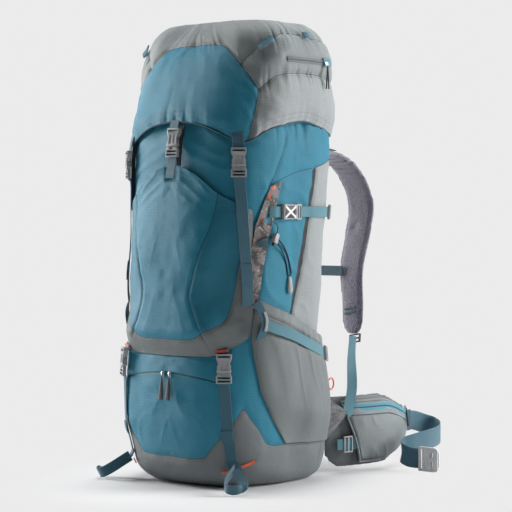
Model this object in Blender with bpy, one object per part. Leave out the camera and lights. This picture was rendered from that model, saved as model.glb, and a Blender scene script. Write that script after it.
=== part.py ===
"""A trekking backpack of about 65 litres, standing upright and packed.

+Z is up, -Y is the bag's front, +Y is the side that the wearer's back rests on, and +X is the wearer's
right. The origin is the middle of the flat base. Metres. Every cross section of the bag and of its lid is a
super-ellipse, rounder in front than behind, and the fabric panels are sheets on that surface.
"""

import math

import bmesh
import bpy
from mathutils import Matrix, Vector

# Bag: rows of height, half width, front Y and back Y.
BAG = (
    (0.000, 0.150, -0.150, 0.122),
    (0.065, 0.156, -0.161, 0.129),
    (0.130, 0.158, -0.167, 0.130),
    (0.200, 0.158, -0.167, 0.118),
    (0.300, 0.156, -0.153, 0.106),
    (0.400, 0.156, -0.150, 0.108),
    (0.500, 0.158, -0.150, 0.121),
    (0.580, 0.160, -0.146, 0.130),
    (0.625, 0.160, -0.139, 0.133),
    (0.660, 0.157, -0.128, 0.134),
)
LID = (
    (0.600, 0.167, -0.151, 0.142),
    (0.650, 0.169, -0.145, 0.146),
    (0.700, 0.170, -0.128, 0.147),
    (0.740, 0.169, -0.114, 0.146),
    (0.775, 0.166, -0.099, 0.139),
    (0.800, 0.157, -0.085, 0.127),
    (0.818, 0.138, -0.068, 0.108),
    (0.830, 0.108, -0.048, 0.080),
    (0.838, 0.060, -0.030, 0.040),
)
MIDDLE_Y = -0.010
FRONT_POWER = 2.7
BACK_POWER = 4.5
BASE_ROUND = 0.040

WALL = 0.004
GAP = 0.0004
FRONT_CORNER = math.radians(-42)
BACK_CORNER = math.radians(40)
BASE_TOP = 0.065
COMPARTMENT_TOP = 0.220
BAG_TOP = 0.660
COLLAR_TOP = 0.715

LID_WALL = 0.004
LID_HINGE = (0.0, 0.150, 0.634)

WEBBING = 0.020
BELT_WEBBING = 0.038
WEBBING_THICK = 0.0016

STRAP_PIVOT = (0.0, 0.1335, 0.572)
WING_PIVOT = (0.114, 0.150, 0.0)

BELT_ZIP_CENTRE = (0.0083, 0.270, 0.112)
BELT_ZIP_RADIUS = 0.1685
BELT_ZIP_TURN = 22
LID_ZIP_START = (0.1695, 0.072, 0.756)

BUCKLE_WIDTH = 0.027
BUCKLE_THICK = 0.009
SOCKET_BODY = 0.026
SOCKET_BAR = 0.007
FORK_BODY = 0.006
FORK_LADDER = 0.012
PRONG = 0.016
BELT_BUCKLE_SCALE = 1.68

TEAL = (0.055, 0.225, 0.290)
DARK_TEAL = (0.035, 0.105, 0.140)
GREY = (0.170, 0.180, 0.175)
LIGHT_GREY = (0.330, 0.350, 0.350)
MESH_GREY = (0.270, 0.260, 0.300)
BUCKLE_GREY = (0.230, 0.220, 0.210)
ALUMINIUM = (0.700, 0.700, 0.720)
BLACK = (0.030, 0.030, 0.035)


# ---------------------------------------------------------------- materials and objects


def material(name, colour, roughness=0.8, metallic=0.0):
    made = bpy.data.materials.get(name) or bpy.data.materials.new(name)
    made.use_nodes = True
    shader = made.node_tree.nodes["Principled BSDF"]
    shader.inputs["Base Color"].default_value = (*colour, 1.0)
    shader.inputs["Roughness"].default_value = roughness
    shader.inputs["Metallic"].default_value = metallic
    return made


def place(name, mesh, finish, origin=(0, 0, 0)):
    """An object from a mesh in world coordinates, with its own origin at the given point."""
    mesh.transform(Matrix.Translation(-Vector(origin)))
    made = bpy.data.objects.new(name, mesh)
    made.location = origin
    mesh.materials.clear()
    mesh.materials.append(finish)
    bpy.context.scene.collection.objects.link(made)
    return made


def mesh_of(bm):
    """A mesh with its faces turned outwards, shaded smooth between sharp edges."""
    bmesh.ops.recalc_face_normals(bm, faces=bm.faces)
    mesh = bpy.data.meshes.new("solid")
    bm.to_mesh(mesh)
    bm.free()
    mesh.shade_smooth()
    mesh.set_sharp_from_angle(angle=math.radians(35))
    return mesh


def mirrored(right, name):
    """The left twin of a right hand piece, mirrored in the plane X = 0."""
    mesh = right.data.copy()
    flip = Matrix.Scale(-1, 4, (1, 0, 0))
    mesh.transform(flip @ right.matrix_basis)
    mesh.flip_normals()
    at = right.location
    return place(name, mesh, right.data.materials[0], (-at.x, at.y, at.z))


def pair(make, name, *arguments):
    """The right hand piece that make() builds, and its left twin."""
    right = make(name + "_right", *arguments)
    return right, mirrored(right, name + "_left")


# ---------------------------------------------------------------- the surface of bag and lid


def section(rows, z):
    """Half width, front and back at a height, on a smooth curve through the rows."""
    z = min(max(z, rows[0][0]), rows[-1][0])
    i = max(k for k in range(len(rows) - 1) if rows[k][0] <= z)
    low, high = rows[i], rows[i + 1]
    before, after = rows[max(i - 1, 0)], rows[min(i + 2, len(rows) - 1)]
    span = high[0] - low[0]
    t = (z - low[0]) / span
    values = []
    for k in (1, 2, 3):
        slope_low = (high[k] - before[k]) / (high[0] - before[0]) * span
        slope_high = (after[k] - low[k]) / (after[0] - low[0]) * span
        values.append(
            low[k] * (2 * t**3 - 3 * t**2 + 1)
            + slope_low * (t**3 - 2 * t**2 + t)
            + high[k] * (3 * t**2 - 2 * t**3)
            + slope_high * (t**3 - t**2)
        )
    return values


def outline(theta, z, out=0.0, rows=BAG):
    """The point of a cross section at a polar angle: 0 is the wearer's right and -90 degrees the front."""
    half_width, front, back = section(rows, z)
    c, s = math.cos(theta), math.sin(theta)
    depth, power = (back - MIDDLE_Y, BACK_POWER) if s > 0 else (MIDDLE_Y - front, FRONT_POWER)
    radius = ((abs(c) / half_width) ** power + (abs(s) / depth) ** power) ** (-1 / power) + out
    return Vector((radius * c, MIDDLE_Y + radius * s, z))


def base_inset(z):
    """How far the rounded lower edge of the bag draws in at a height."""
    below = max(BASE_ROUND - z, 0.0)
    return BASE_ROUND - math.sqrt(BASE_ROUND**2 - below**2)


def normal(theta, z, rows=BAG):
    """The outward unit normal of the surface."""
    step = 1e-3
    around = outline(theta + step, z, 0, rows) - outline(theta - step, z, 0, rows)
    up = outline(theta, z + step, 0, rows) - outline(theta, z - step, 0, rows)
    return around.cross(up).normalized()


def on_surface(theta, z, out):
    """A point at a true distance outside the bag, the rounded lower edge included."""
    return outline(theta, z, -base_inset(z)) + normal(theta, max(z, BASE_ROUND)) * out


def spaced(start, end, count):
    return [start + (end - start) * i / count for i in range(count + 1)]


def ease(t):
    t = min(max(t, 0.0), 1.0)
    return t * t * (3 - 2 * t)


# ---------------------------------------------------------------- solids


def shell(point, us, vs):
    """A closed sheet between its outside, point(u, v, 0), and its inside, point(u, v, 1)."""
    bm = bmesh.new()
    outer, inner = (
        [[bm.verts.new(point(u, v, side)) for v in vs] for u in us] for side in (0, 1)
    )
    for i in range(len(us) - 1):
        for j in range(len(vs) - 1):
            for grid in (outer, inner):
                bm.faces.new((grid[i][j], grid[i + 1][j], grid[i + 1][j + 1], grid[i][j + 1]))
    border = [(i, 0) for i in range(len(us) - 1)]
    border += [(len(us) - 1, j) for j in range(len(vs) - 1)]
    border += [(i, len(vs) - 1) for i in range(len(us) - 1, 0, -1)]
    border += [(0, j) for j in range(len(vs) - 1, 0, -1)]
    for (i, j), (k, m) in zip(border, border[1:] + border[:1]):
        bm.faces.new((outer[i][j], outer[k][m], inner[k][m], inner[i][j]))
    return mesh_of(bm)


def stack(rings, capped=True):
    """A solid from rings of equally many points. Without caps its last ring joins its first."""
    bm = bmesh.new()
    made = [[bm.verts.new(p) for p in ring] for ring in rings]
    pairs = list(zip(made, made[1:]))
    if capped:
        bm.faces.new(made[0])
        bm.faces.new(made[-1])
    else:
        pairs.append((made[-1], made[0]))
    for a, b in pairs:
        for i in range(len(a)):
            k = (i + 1) % len(a)
            bm.faces.new((a[i], a[k], b[k], b[i]))
    return mesh_of(bm)


def curve_through(points, count):
    """count + 1 points evenly along the smooth curve through a few points, as (position, share) pairs."""
    points = [Vector(p) for p in points]
    dense = []
    for i in range(len(points) - 1):
        before, after = points[max(i - 1, 0)], points[min(i + 2, len(points) - 1)]
        a, b = points[i], points[i + 1]
        for k in range(12):
            t = k / 12
            dense.append(
                0.5
                * (
                    2 * a
                    + (b - before) * t
                    + (2 * before - 5 * a + 4 * b - after) * t * t
                    + (3 * a - before - 3 * b + after) * t**3
                )
            )
    dense.append(points[-1])
    run = [0.0]
    for p, q in zip(dense, dense[1:]):
        run.append(run[-1] + (q - p).length)
    made = []
    for i in range(count + 1):
        at = run[-1] * i / count
        k = max(j for j in range(len(run) - 1) if run[j] <= at + 1e-12)
        share = (at - run[k]) / (run[k + 1] - run[k])
        made.append(dense[k].lerp(dense[k + 1], share))
    return made


def band(points, widths, width, thick, round_sides=False):
    """A flat strap along points. widths gives its width direction at each, width and thick its size there."""
    count = len(points)
    rings = []
    for i, p in enumerate(points):
        along = (points[min(i + 1, count - 1)] - points[max(i - 1, 0)]).normalized()
        side = Vector(widths[i])
        side = (side - along * side.dot(along)).normalized()
        face = side.cross(along)
        share = i / (count - 1)
        half = width(share) / 2
        deep = thick(share) / 2
        if round_sides:
            corners = [(1, 0.35), (0.82, 1), (-0.82, 1), (-1, 0.35), (-1, -0.35), (-0.82, -1), (0.82, -1), (1, -0.35)]
        else:
            corners = [(1, 1), (-1, 1), (-1, -1), (1, -1)]
        rings.append([p + side * (half * x) + face * (deep * y) for x, y in corners])
    return stack(rings)


def flat(points, widths, width=WEBBING, thick=WEBBING_THICK):
    """Webbing of one width. Its faces are triangles, because it twists."""
    mesh = band(points, widths, lambda share: width, lambda share: thick)
    bm = bmesh.new()
    bm.from_mesh(mesh)
    bmesh.ops.triangulate(bm, faces=bm.faces)
    bm.to_mesh(mesh)
    bm.free()
    return mesh


def evaluated(mesh, *cutters):
    """The mesh with each cutter taken out of it."""
    body = bpy.data.objects.new("body", mesh)
    bpy.context.scene.collection.objects.link(body)
    tools = []
    for cutter in cutters:
        tool = bpy.data.objects.new("cutter", cutter)
        bpy.context.scene.collection.objects.link(tool)
        cut = body.modifiers.new("cut", "BOOLEAN")
        cut.operation = "DIFFERENCE"
        cut.solver = "EXACT"
        cut.object = tool
        tools.append(tool)
    bpy.context.view_layer.update()
    graph = bpy.context.evaluated_depsgraph_get()
    made = bpy.data.meshes.new_from_object(body.evaluated_get(graph))
    for used in [body, *tools]:
        bpy.data.objects.remove(used)
    made.set_sharp_from_angle(angle=math.radians(35))
    return made


def prism(corners, low, high):
    """A flat outline in X and Y, given anticlockwise, from one height to another."""
    return stack([[Vector((x, y, z)) for x, y in corners] for z in (low, high)])


def block(x0, x1, y0, y1, z0, z1):
    return prism([(x0, y0), (x1, y0), (x1, y1), (x0, y1)], z0, z1)


# ---------------------------------------------------------------- buckles


def socket_mesh():
    """A side-release socket. Its mouth is at Y = 0, its webbing bar at +Y, and Z = 0 is its back."""
    w, t, y1 = BUCKLE_WIDTH / 2, BUCKLE_THICK, SOCKET_BODY
    y2 = y1 + SOCKET_BAR
    body = prism(
        [(-w, 0), (w, 0), (w, 0.018), (w - 0.002, y1), (w, y2), (-w, y2), (-w + 0.002, y1), (-w, 0.018)], 0, t
    )
    cavity = block(-w + 0.0025, w - 0.0025, -0.002, 0.021, 0.0018, t - 0.0018)
    window = block(-w - 0.002, w + 0.002, 0.008, 0.017, 0.0018, t - 0.0018)
    slot = block(-w + 0.003, w - 0.003, y1 + 0.0015, y2 - 0.0025, -0.001, t + 0.001)
    return evaluated(body, cavity, window, slot)


def fork_mesh():
    """The socket's fork: two prongs and a guide at +Y, and a ladder bar at -Y."""
    w = BUCKLE_WIDTH / 2
    y0, y1 = -FORK_BODY - FORK_LADDER, -GAP
    low, high = 0.0026, BUCKLE_THICK - 0.0026
    outline_points = [
        (-w, y0),
        (w, y0),
        (w, y1),
        (0.0098, y1),
        (0.0104, 0.010),
        (0.0090, PRONG),
        (0.0062, PRONG),
        (0.0056, y1),
        (0.0016, y1),
        (0.0010, 0.013),
        (-0.0010, 0.013),
        (-0.0016, y1),
        (-0.0056, y1),
        (-0.0062, PRONG),
        (-0.0090, PRONG),
        (-0.0104, 0.010),
        (-0.0098, y1),
        (-w, y1),
    ]
    body = prism(outline_points, low, high)
    slots = [
        block(-w + 0.003, w - 0.003, y, y + 0.003, 0, BUCKLE_THICK)
        for y in (y0 + 0.0025, y0 + 0.0085)
    ]
    return evaluated(body, *slots)


def buckle_matrix(at, along, outward):
    """Stands a buckle on a surface: its mouth at a point, its socket end pointing along."""
    z = Vector(outward).normalized()
    y = Vector(along)
    y = (y - z * y.dot(z)).normalized()
    x = y.cross(z)
    turned = Matrix((x, y, z)).transposed().to_4x4()
    return Matrix.Translation(at) @ turned


def put(name, mesh, matrix, finish, origin=None):
    made = mesh.copy()
    made.transform(matrix)
    return place(name, made, finish, matrix.translation if origin is None else origin)


# ---------------------------------------------------------------- the bag's fabric shell


def panel(name, finish, theta0, theta1, z0, z1, steps_around, steps_up):
    """One sewn panel of the bag, a sheet WALL thick."""
    trim = GAP / 2 / 0.16
    mesh = shell(
        lambda u, v, side: outline(u, v, -WALL * side),
        spaced(theta0 + trim, theta1 - trim, steps_around),
        spaced(z0 + GAP / 2, z1 - GAP / 2, steps_up),
    )
    return place(name, mesh, finish)


def base_panel(finish):
    """The dish of the base: a flat floor, a rounded edge and a low wall."""
    around = [2 * math.pi * i / 36 for i in range(36)]

    def ring(turn, wall):
        z = BASE_ROUND - (BASE_ROUND - wall) * math.cos(turn)
        inset = BASE_ROUND - (BASE_ROUND - wall) * math.sin(turn)
        return [outline(theta, z, -inset) for theta in around]

    turns = spaced(0, math.pi / 2, 4)
    rings = [ring(turn, 0.0) for turn in turns]
    rings.append([outline(theta, BASE_TOP - GAP / 2) for theta in around])
    rings.append([outline(theta, BASE_TOP - GAP / 2, -WALL) for theta in around])
    rings += [ring(turn, WALL) for turn in reversed(turns)]
    return place("base_panel", stack(rings), finish)


def ring_of(point, levels, count):
    """A closed ring wall: point(theta, level, side) outside (0) and inside (1)."""
    around = [2 * math.pi * i / count for i in range(count)]
    rings = [[point(theta, level, 0) for theta in around] for level in levels]
    rings += [[point(theta, level, 1) for theta in around] for level in reversed(levels)]
    return stack(rings, capped=False)


def extension_collar(finish):
    """The drawcord collar above the bag, narrowing towards its mouth."""

    def point(theta, level, side):
        z = BAG_TOP + GAP + (COLLAR_TOP - BAG_TOP) * level
        p = outline(theta, BAG_TOP, -0.005 - 0.020 * level - 0.003 * side)
        return Vector((p.x, p.y, z))

    return place("extension_collar", ring_of(point, (0, 0.5, 1), 28), finish)


def lid_hem(theta):
    """Height of the lid's lower edge: lowest at its front corners, level along its back."""
    turn = math.degrees(math.atan2(math.sin(theta), abs(math.cos(theta))))
    stops = ((-90, 0.648), (-66, 0.638), (-42, 0.611), (-20, 0.636), (2, 0.651), (25, 0.640), (42, 0.636), (90, 0.636))
    for (t0, z0), (t1, z1) in zip(stops, stops[1:]):
        if turn <= t1:
            return z0 + (z1 - z0) * ease((turn - t0) / (t1 - t0))
    return stops[-1][1]


def lid_shell(finish):
    """The lid: a deep hood with a domed top."""
    levels = (0.0, 0.25, 0.5, 0.68, 0.80, 0.90, 0.96, 1.0)
    top = 0.8335
    around = [2 * math.pi * i / 36 for i in range(36)]

    def point(theta, level, side):
        z = lid_hem(theta) + (top - lid_hem(theta)) * level
        return outline(theta, z, 0, LID) - normal(theta, z, LID) * (LID_WALL * side)

    rings = [[point(theta, level, 0) for theta in around] for level in reversed(levels)]
    rings += [[point(theta, level, 1) for theta in around] for level in levels]
    return place("lid_shell", stack(rings), finish, LID_HINGE)


# ---------------------------------------------------------------- pockets


def front_pocket(finish):
    """The stuff pocket on the front. It is sewn down at its sides and bottom and open along its peaked top."""
    reach = math.radians(52)

    def point(u, v, side):
        theta = -math.pi / 2 + reach * u
        low = 0.228 + 0.050 * abs(u) ** 2.2
        high = 0.560 - 0.066 * min(abs(u) * 1.25, 1.0)
        z = low + (high - low) * v
        across = max(math.cos(u * math.pi / 2), 0.0) ** 1.2
        along = ease(v / 0.3) * (1 - 0.35 * ease((v - 0.5) / 0.5))
        bulge = 0.0012 + 0.018 * across * along
        return outline(theta, z, bulge + 0.003 * (1 - side))

    return place("front_pocket", shell(point, spaced(-1, 1, 14), spaced(0, 1, 9)), finish)


def side_pocket(name, finish):
    """A bottle pocket on the bag's side, open at its slanting hem."""
    back_edge = math.radians(36)

    def point(u, v, side):
        front_edge = math.radians(-19 - 11 * v)
        theta = front_edge + (back_edge - front_edge) * u
        low = BASE_TOP + 0.004
        high = 0.330 - 0.068 * u
        z = low + (high - low) * v
        across = math.sin(math.pi * u) ** 0.8 if 0 < u < 1 else 0.0
        bulge = 0.0010 + 0.021 * across * ease(v / 0.35) * (1 - 0.2 * ease((v - 0.6) / 0.4))
        return outline(theta, z, bulge + 0.003 * (1 - side))

    return place(name, shell(point, spaced(0, 1, 9), spaced(0, 1, 7)), finish)


# ---------------------------------------------------------------- back system


def back_depth(x, z):
    """Y of the bag's back at a place."""
    half_width, _, back = section(BAG, z)
    return MIDDLE_Y + (back - MIDDLE_Y) * (1 - (abs(x) / half_width) ** BACK_POWER) ** (1 / BACK_POWER)


def internal_frame(finish):
    """A bent aluminium rod, an upside-down U, that stands just inside the back panel."""
    half, low, high, bend, radius = 0.085, 0.075, 0.635, 0.035, 0.0035
    flat_path = [(-half, z) for z in spaced(low, high - bend, 8)]
    flat_path += [
        (-half + bend - bend * math.cos(turn), high - bend + bend * math.sin(turn))
        for turn in spaced(math.pi / 8, math.pi / 2, 3)
    ]
    flat_path += [(-x, z) for x, z in reversed(flat_path)]
    path = [Vector((x, back_depth(x, z) - WALL - radius - 0.0020, z)) for x, z in flat_path]
    rings = []
    for i, p in enumerate(path):
        along = (path[min(i + 1, len(path) - 1)] - path[max(i - 1, 0)]).normalized()
        side = along.cross(Vector((0, 1, 0))).normalized()
        up = side.cross(along)
        turns = [2 * math.pi * k / 8 for k in range(8)]
        rings.append([p + side * (radius * math.cos(t)) + up * (radius * math.sin(t)) for t in turns])
    return place("internal_frame", stack(rings), finish)


def back_cushion(name, finish, half, low, high, thick, channel):
    """A foam pad on the bag's back. channel is the half width of the thin strip down its middle."""

    def point(x, z, side):
        end = min((z - low) / 0.02, (high - z) / 0.02, (half - abs(x)) / 0.012, 1.0)
        full = thick if abs(x) > channel else 0.004
        deep = 0.003 + (full - 0.003) * ease(end)
        return Vector((x, back_depth(x, z) + 0.0016 + deep * (1 - side), z))

    columns = [half, half - 0.012, 0.075, 0.055, channel + 0.012, channel + 0.001, channel - 0.002]
    xs = columns + [-x for x in reversed(columns)]
    rows = max(round((high - low) / 0.035), 2)
    zs = [low, low + 0.012, *spaced(low + 0.024, high - 0.024, rows), high - 0.012, high]
    return place(name, shell(point, xs, zs), finish)


# ---------------------------------------------------------------- straps on the bag


def surface_strap(name, finish, places, count):
    """Webbing laid on the bag through places of (polar angle in degrees, height, distance out)."""
    theta_z = curve_through([(math.radians(t), z, out) for t, z, out in places], count)
    points = [on_surface(t, z, out) for t, z, out in theta_z]
    widths = []
    for i, (t, z, _) in enumerate(theta_z):
        along = points[min(i + 1, count)] - points[max(i - 1, 0)]
        widths.append(normal(t, max(z, BASE_ROUND)).cross(along))
    return place(name, flat(points, widths), finish)


def base_strap(name, finish):
    """The lower compression strap, down the bag's front corner and on into the gear loop on the ground."""
    count = 9
    down = curve_through([(-50, 0.204, 0), (-49, 0.130, 0), (-46, 0.062, 0), (-45, 0.038, 0)], count)
    points, widths = [], []
    for t, z, _ in down:
        theta = math.radians(t)
        points.append(on_surface(theta, z, 0.0022))
        widths.append(Vector((-math.sin(theta), math.cos(theta), 0)))
    root, tip = Vector((0.1215, -0.1245, 0.026)), Vector((0.1600, -0.1750, 0.0108))
    out = (tip - root).normalized()
    side = Vector((-out.y, out.x, 0)).normalized()
    loop = [(0.10, 0.0035), (0.35, 0.0100), (0.70, 0.0150), (0.93, 0.0110), (1.0, 0.0)]
    loop += [(reach, -wide) for reach, wide in reversed(loop[:-1])]
    for reach, wide in loop:
        points.append(root.lerp(tip, reach) + side * wide)
        widths.append(Vector((0, 0, -1)))
    return place(name, flat(points, widths), finish)


# ---------------------------------------------------------------- shoulder straps and hip belt

SHOULDER_ROUTE = (
    (0.055, 0.1345, 0.572),
    (0.058, 0.170, 0.592),
    (0.062, 0.215, 0.597),
    (0.067, 0.265, 0.578),
    (0.072, 0.301, 0.540),
    (0.076, 0.315, 0.495),
    (0.080, 0.297, 0.440),
    (0.083, 0.274, 0.375),
    (0.085, 0.275, 0.310),
    (0.086, 0.274, 0.264),
)
WING_ROUTE = (
    (0.113, 0.143),
    (0.129, 0.176),
    (0.143, 0.220),
    (0.150, 0.270),
    (0.148, 0.320),
    (0.138, 0.368),
)
BELT_ROUTE = (
    (0.1435, 0.3740, 0.0780),
    (0.1420, 0.4050, 0.0740),
    (0.1470, 0.4300, 0.0660),
    (0.1620, 0.4420, 0.0600),
    (0.1850, 0.4300, 0.0550),
    (0.2050, 0.3950, 0.0510),
    (0.2130, 0.3500, 0.0485),
    (0.2100, 0.3050, 0.0450),
    (0.2045, 0.2780, 0.0400),
    (0.2090, 0.2640, 0.0320),
    (0.2250, 0.2620, 0.0250),
    (0.2455, 0.2660, 0.0236),
)


def shoulder_strap(name, finish):
    """The padded strap: out over the shoulder and down the chest."""
    count = 16
    points = curve_through(SHOULDER_ROUTE, count)
    widths = [Vector((1, 0, 0))] * (count + 1)
    mesh = band(
        points,
        widths,
        lambda share: 0.062 - 0.014 * ease((share - 0.5) / 0.5),
        lambda share: 0.013 - 0.003 * ease((share - 0.9) / 0.1),
        round_sides=True,
    )
    pivot = (SHOULDER_ROUTE[0][0], STRAP_PIVOT[1], STRAP_PIVOT[2])
    return place(name, mesh, finish, pivot)


def shoulder_webbing(name, finish):
    """The adjusting webbing from the padded strap's lower end to the bag's lower back corner."""
    count = 10
    points = curve_through(
        [(0.087, 0.273, 0.2555), (0.106, 0.242, 0.215), (0.140, 0.197, 0.160), (0.157, 0.155, 0.115), (0.152, 0.118, 0.080)],
        count,
    )
    widths = [Vector((1, 0, 0)).lerp(Vector((0.2, 1, 0.35)), ease(i / count)) for i in range(count + 1)]
    return place(name, flat(points, widths), finish)


def hip_wing(name, finish):
    """One padded wing of the hip belt, with the zipped pocket that bulges from its outside."""
    count = 10
    route = curve_through([(x, y, 0) for x, y in WING_ROUTE], count)

    def point(u, v, side):
        i = round(u * count)
        along = (route[min(i + 1, count)] - route[max(i - 1, 0)]).normalized()
        outward = Vector((along.y, -along.x, 0))
        low = 0.006 + 0.034 * ease((u - 0.55) / 0.45)
        high = 0.142 - 0.032 * ease((u - 0.5) / 0.5)
        pocket = math.sin(math.pi * min(max((u - 0.2) / 0.75, 0), 1)) ** 0.5 * math.sin(math.pi * v) ** 0.6
        deep = (0.006 + 0.007 * math.sin(math.pi * v) ** 0.5 + 0.019 * max(pocket, 0)) * (1 - side)
        return Vector((*route[i].xy, low + (high - low) * v)) + outward * deep

    mesh = shell(point, spaced(0, 1, count), (0, 0.08, 0.28, 0.5, 0.72, 0.92, 1))
    return place(name, mesh, finish, WING_PIVOT)


def hip_webbing(name, finish):
    """The wide webbing that leaves the wing's tip, curls outwards and ends at its buckle half."""
    count = 26
    points = curve_through(BELT_ROUTE, count)
    return place(name, flat(points, [Vector((0, 0, 1))] * (count + 1), BELT_WEBBING, 0.0020), finish, WING_PIVOT)


# ---------------------------------------------------------------- small pieces


def zip_slider(name, finish, at, outward, length):
    """A zip slider with its pull hanging from it, as one moulding."""
    z = Vector(outward).normalized()
    down = Vector((0, 0, -1))
    down = (down - z * down.dot(z)).normalized()
    side = down.cross(z)
    stations = (
        (0, 0.0030, 0.0020),
        (0.003, 0.0040, 0.0024),
        (0.008, 0.0036, 0.0024),
        (0.010, 0.0012, 0.0010),
        (0.016, 0.0014, 0.0010),
        (0.019, 0.0026, 0.0013),
        (length, 0.0032, 0.0013),
    )
    middle = Vector(at) + z * 0.0028
    rings = [
        [middle + down * run + side * (half * x) + z * (deep * y) for x, y in ((1, 1), (-1, 1), (-1, -1), (1, -1))]
        for run, half, deep in stations
    ]
    return place(name, stack(rings), finish, at)


LOCK_AT = Vector((0.1625, -0.064, 0.440))
LOCK_ALONG = Vector((0, 0.42, 0.90)).normalized()
LOCK_OUT = Vector((1, 0, 0))
CORD_RADIUS = 0.0011
CORD_ROUTE = (
    (0.1615, -0.0580, 0.4400),
    (0.1615, -0.0480, 0.4340),
    (0.1612, -0.0370, 0.4240),
    (0.1610, -0.0280, 0.4110),
    (0.1608, -0.0220, 0.3970),
    (0.1606, -0.0180, 0.3850),
    (0.1606, -0.0165, 0.3790),
    (0.1606, -0.0185, 0.3745),
    (0.1606, -0.0225, 0.3730),
    (0.1606, -0.0262, 0.3755),
    (0.1606, -0.0270, 0.3810),
    (0.1608, -0.0300, 0.3930),
    (0.1610, -0.0350, 0.4050),
    (0.1612, -0.0430, 0.4170),
    (0.1615, -0.0520, 0.4270),
    (0.1615, -0.0605, 0.4325),
)


def lock_matrix():
    across = LOCK_ALONG.cross(LOCK_OUT)
    turned = Matrix((across, LOCK_ALONG, LOCK_OUT)).transposed().to_4x4()
    return Matrix.Translation(LOCK_AT) @ turned


def cord_lock(name, finish):
    """The barrel that grips the cord, open at its lower end for the button."""
    body = prism([(-0.0045, -0.009), (0.0045, -0.009), (0.0045, 0.007), (0.0025, 0.009), (-0.0025, 0.009), (-0.0045, 0.007)], -0.004, 0.004)
    bore = block(-0.0033, 0.0033, -0.010, 0.005, -0.0028, 0.0028)
    mesh = evaluated(body, bore)
    return put(name, mesh, lock_matrix(), finish)


def cord_lock_button(name, finish):
    """The sprung button that releases the cord."""
    head = prism([(-0.0028, -0.0135), (0.0028, -0.0135), (0.0028, -0.001), (-0.0028, -0.001)], -0.0023, 0.0023)
    return put(name, head, lock_matrix(), finish)


def side_cord(name, finish):
    """The elastic cord: from the lock down to its pull, round inside it, and back up to the lock."""
    route = curve_through(CORD_ROUTE, 46)
    points = bpy.data.curves.new(name, "CURVE")
    points.dimensions = "3D"
    points.bevel_depth = CORD_RADIUS
    points.bevel_resolution = 2
    points.use_fill_caps = True
    line = points.splines.new("POLY")
    line.points.add(len(route) - 1)
    for point, p in zip(line.points, route):
        point.co = (*p, 1.0)
    curve = bpy.data.objects.new("route", points)
    bpy.context.scene.collection.objects.link(curve)
    bpy.context.view_layer.update()
    graph = bpy.context.evaluated_depsgraph_get()
    mesh = bpy.data.meshes.new_from_object(curve.evaluated_get(graph))
    bpy.data.objects.remove(curve)
    bm = bmesh.new()
    bm.from_mesh(mesh)
    bmesh.ops.remove_doubles(bm, verts=bm.verts, dist=1e-6)
    return place(name, mesh_of(bm), finish)


def cord_pull(name, finish):
    """The moulded pull that hangs on the cord's turn."""
    low, high = 0.3425, 0.3710
    widths = ((0, 0.0040, 0.0025), (0.15, 0.0055, 0.0035), (0.7, 0.0065, 0.0040), (1, 0.0050, 0.0030))
    rings = []
    for share, half, deep in widths:
        z = low + (high - low) * share
        centre = Vector((0.1612, -0.0200 - 0.0018 * share, z))
        rings.append([centre + Vector((deep * x, half * y, 0)) for x, y in ((1, 0.6), (0.6, 1), (-0.6, 1), (-1, 0.6), (-1, -0.6), (-0.6, -1), (0.6, -1), (1, -0.6))])
    return place(name, stack(rings), finish)


# ---------------------------------------------------------------- assembly


def build_bag():
    teal = material("teal_fabric", TEAL)
    grey = material("grey_fabric", GREY)
    pale = material("pale_fabric", LIGHT_GREY)
    foam = material("spacer_mesh", MESH_GREY, 0.9)
    left, right = math.pi - FRONT_CORNER - 2 * math.pi, FRONT_CORNER
    base_panel(grey)
    panel("lower_front_panel", teal, left, right, BASE_TOP, COMPARTMENT_TOP, 12, 4)
    panel("front_panel", teal, left, right, COMPARTMENT_TOP, BAG_TOP, 12, 8)
    panel("back_panel", pale, BACK_CORNER, math.pi - BACK_CORNER, BASE_TOP, BAG_TOP, 12, 16)
    side = panel("side_panel_right", teal, FRONT_CORNER, BACK_CORNER, BASE_TOP, BAG_TOP, 8, 10)
    mirrored(side, "side_panel_left")
    extension_collar(teal)
    internal_frame(material("frame_rod", ALUMINIUM, 0.35, 1.0))
    back_cushion("back_pad", foam, 0.105, 0.175, 0.548, 0.012, 0.022)
    back_cushion("lumbar_pad", foam, 0.105, 0.030, 0.160, 0.018, 0.012)
    front_pocket(teal)
    pair(side_pocket, "side_pocket", grey)


def build_straps(socket, fork):
    """The compression straps and the two halves of each of their buckles."""
    webbing = material("webbing", DARK_TEAL)
    plastic = material("buckle_plastic", BUCKLE_GREY, 0.45)

    def buckle(name, theta, z, out, along, twin=True):
        at = on_surface(math.radians(theta), z, out)
        matrix = buckle_matrix(at, along, normal(math.radians(theta), z))
        for half, mesh in (("socket", socket), ("fork", fork)):
            if twin:
                piece = put(f"{name}_buckle_{half}_right", mesh, matrix, plastic)
                mirrored(piece, f"{name}_buckle_{half}_left")
            else:
                put(f"{name}_buckle_{half}", mesh, matrix, plastic)

    up, forward = Vector((0, 0, 1)), Vector((0, -1, 0))
    buckle("lid", -41.0, 0.565, 0.0085, up)
    buckle("base", -50.0, 0.206, 0.0034, up)
    buckle("side", -1.0, 0.487, 0.0020, forward)
    buckle("pocket", -90.0, 0.601, 0.0030, up, twin=False)
    pair(
        surface_strap,
        "lid_strap",
        webbing,
        [(-41, 0.563, 0.0095), (-39.5, 0.500, 0.0090), (-37.5, 0.420, 0.0085), (-35.5, 0.340, 0.0070), (-34.5, 0.300, 0.0060)],
        12,
    )
    pair(base_strap, "base_strap", webbing)
    pair(surface_strap, "side_strap", webbing, [(1, 0.487, 0.0012), (12, 0.487, 0.0012), (26, 0.487, 0.0012), (39, 0.487, 0.0012)], 9)


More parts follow.
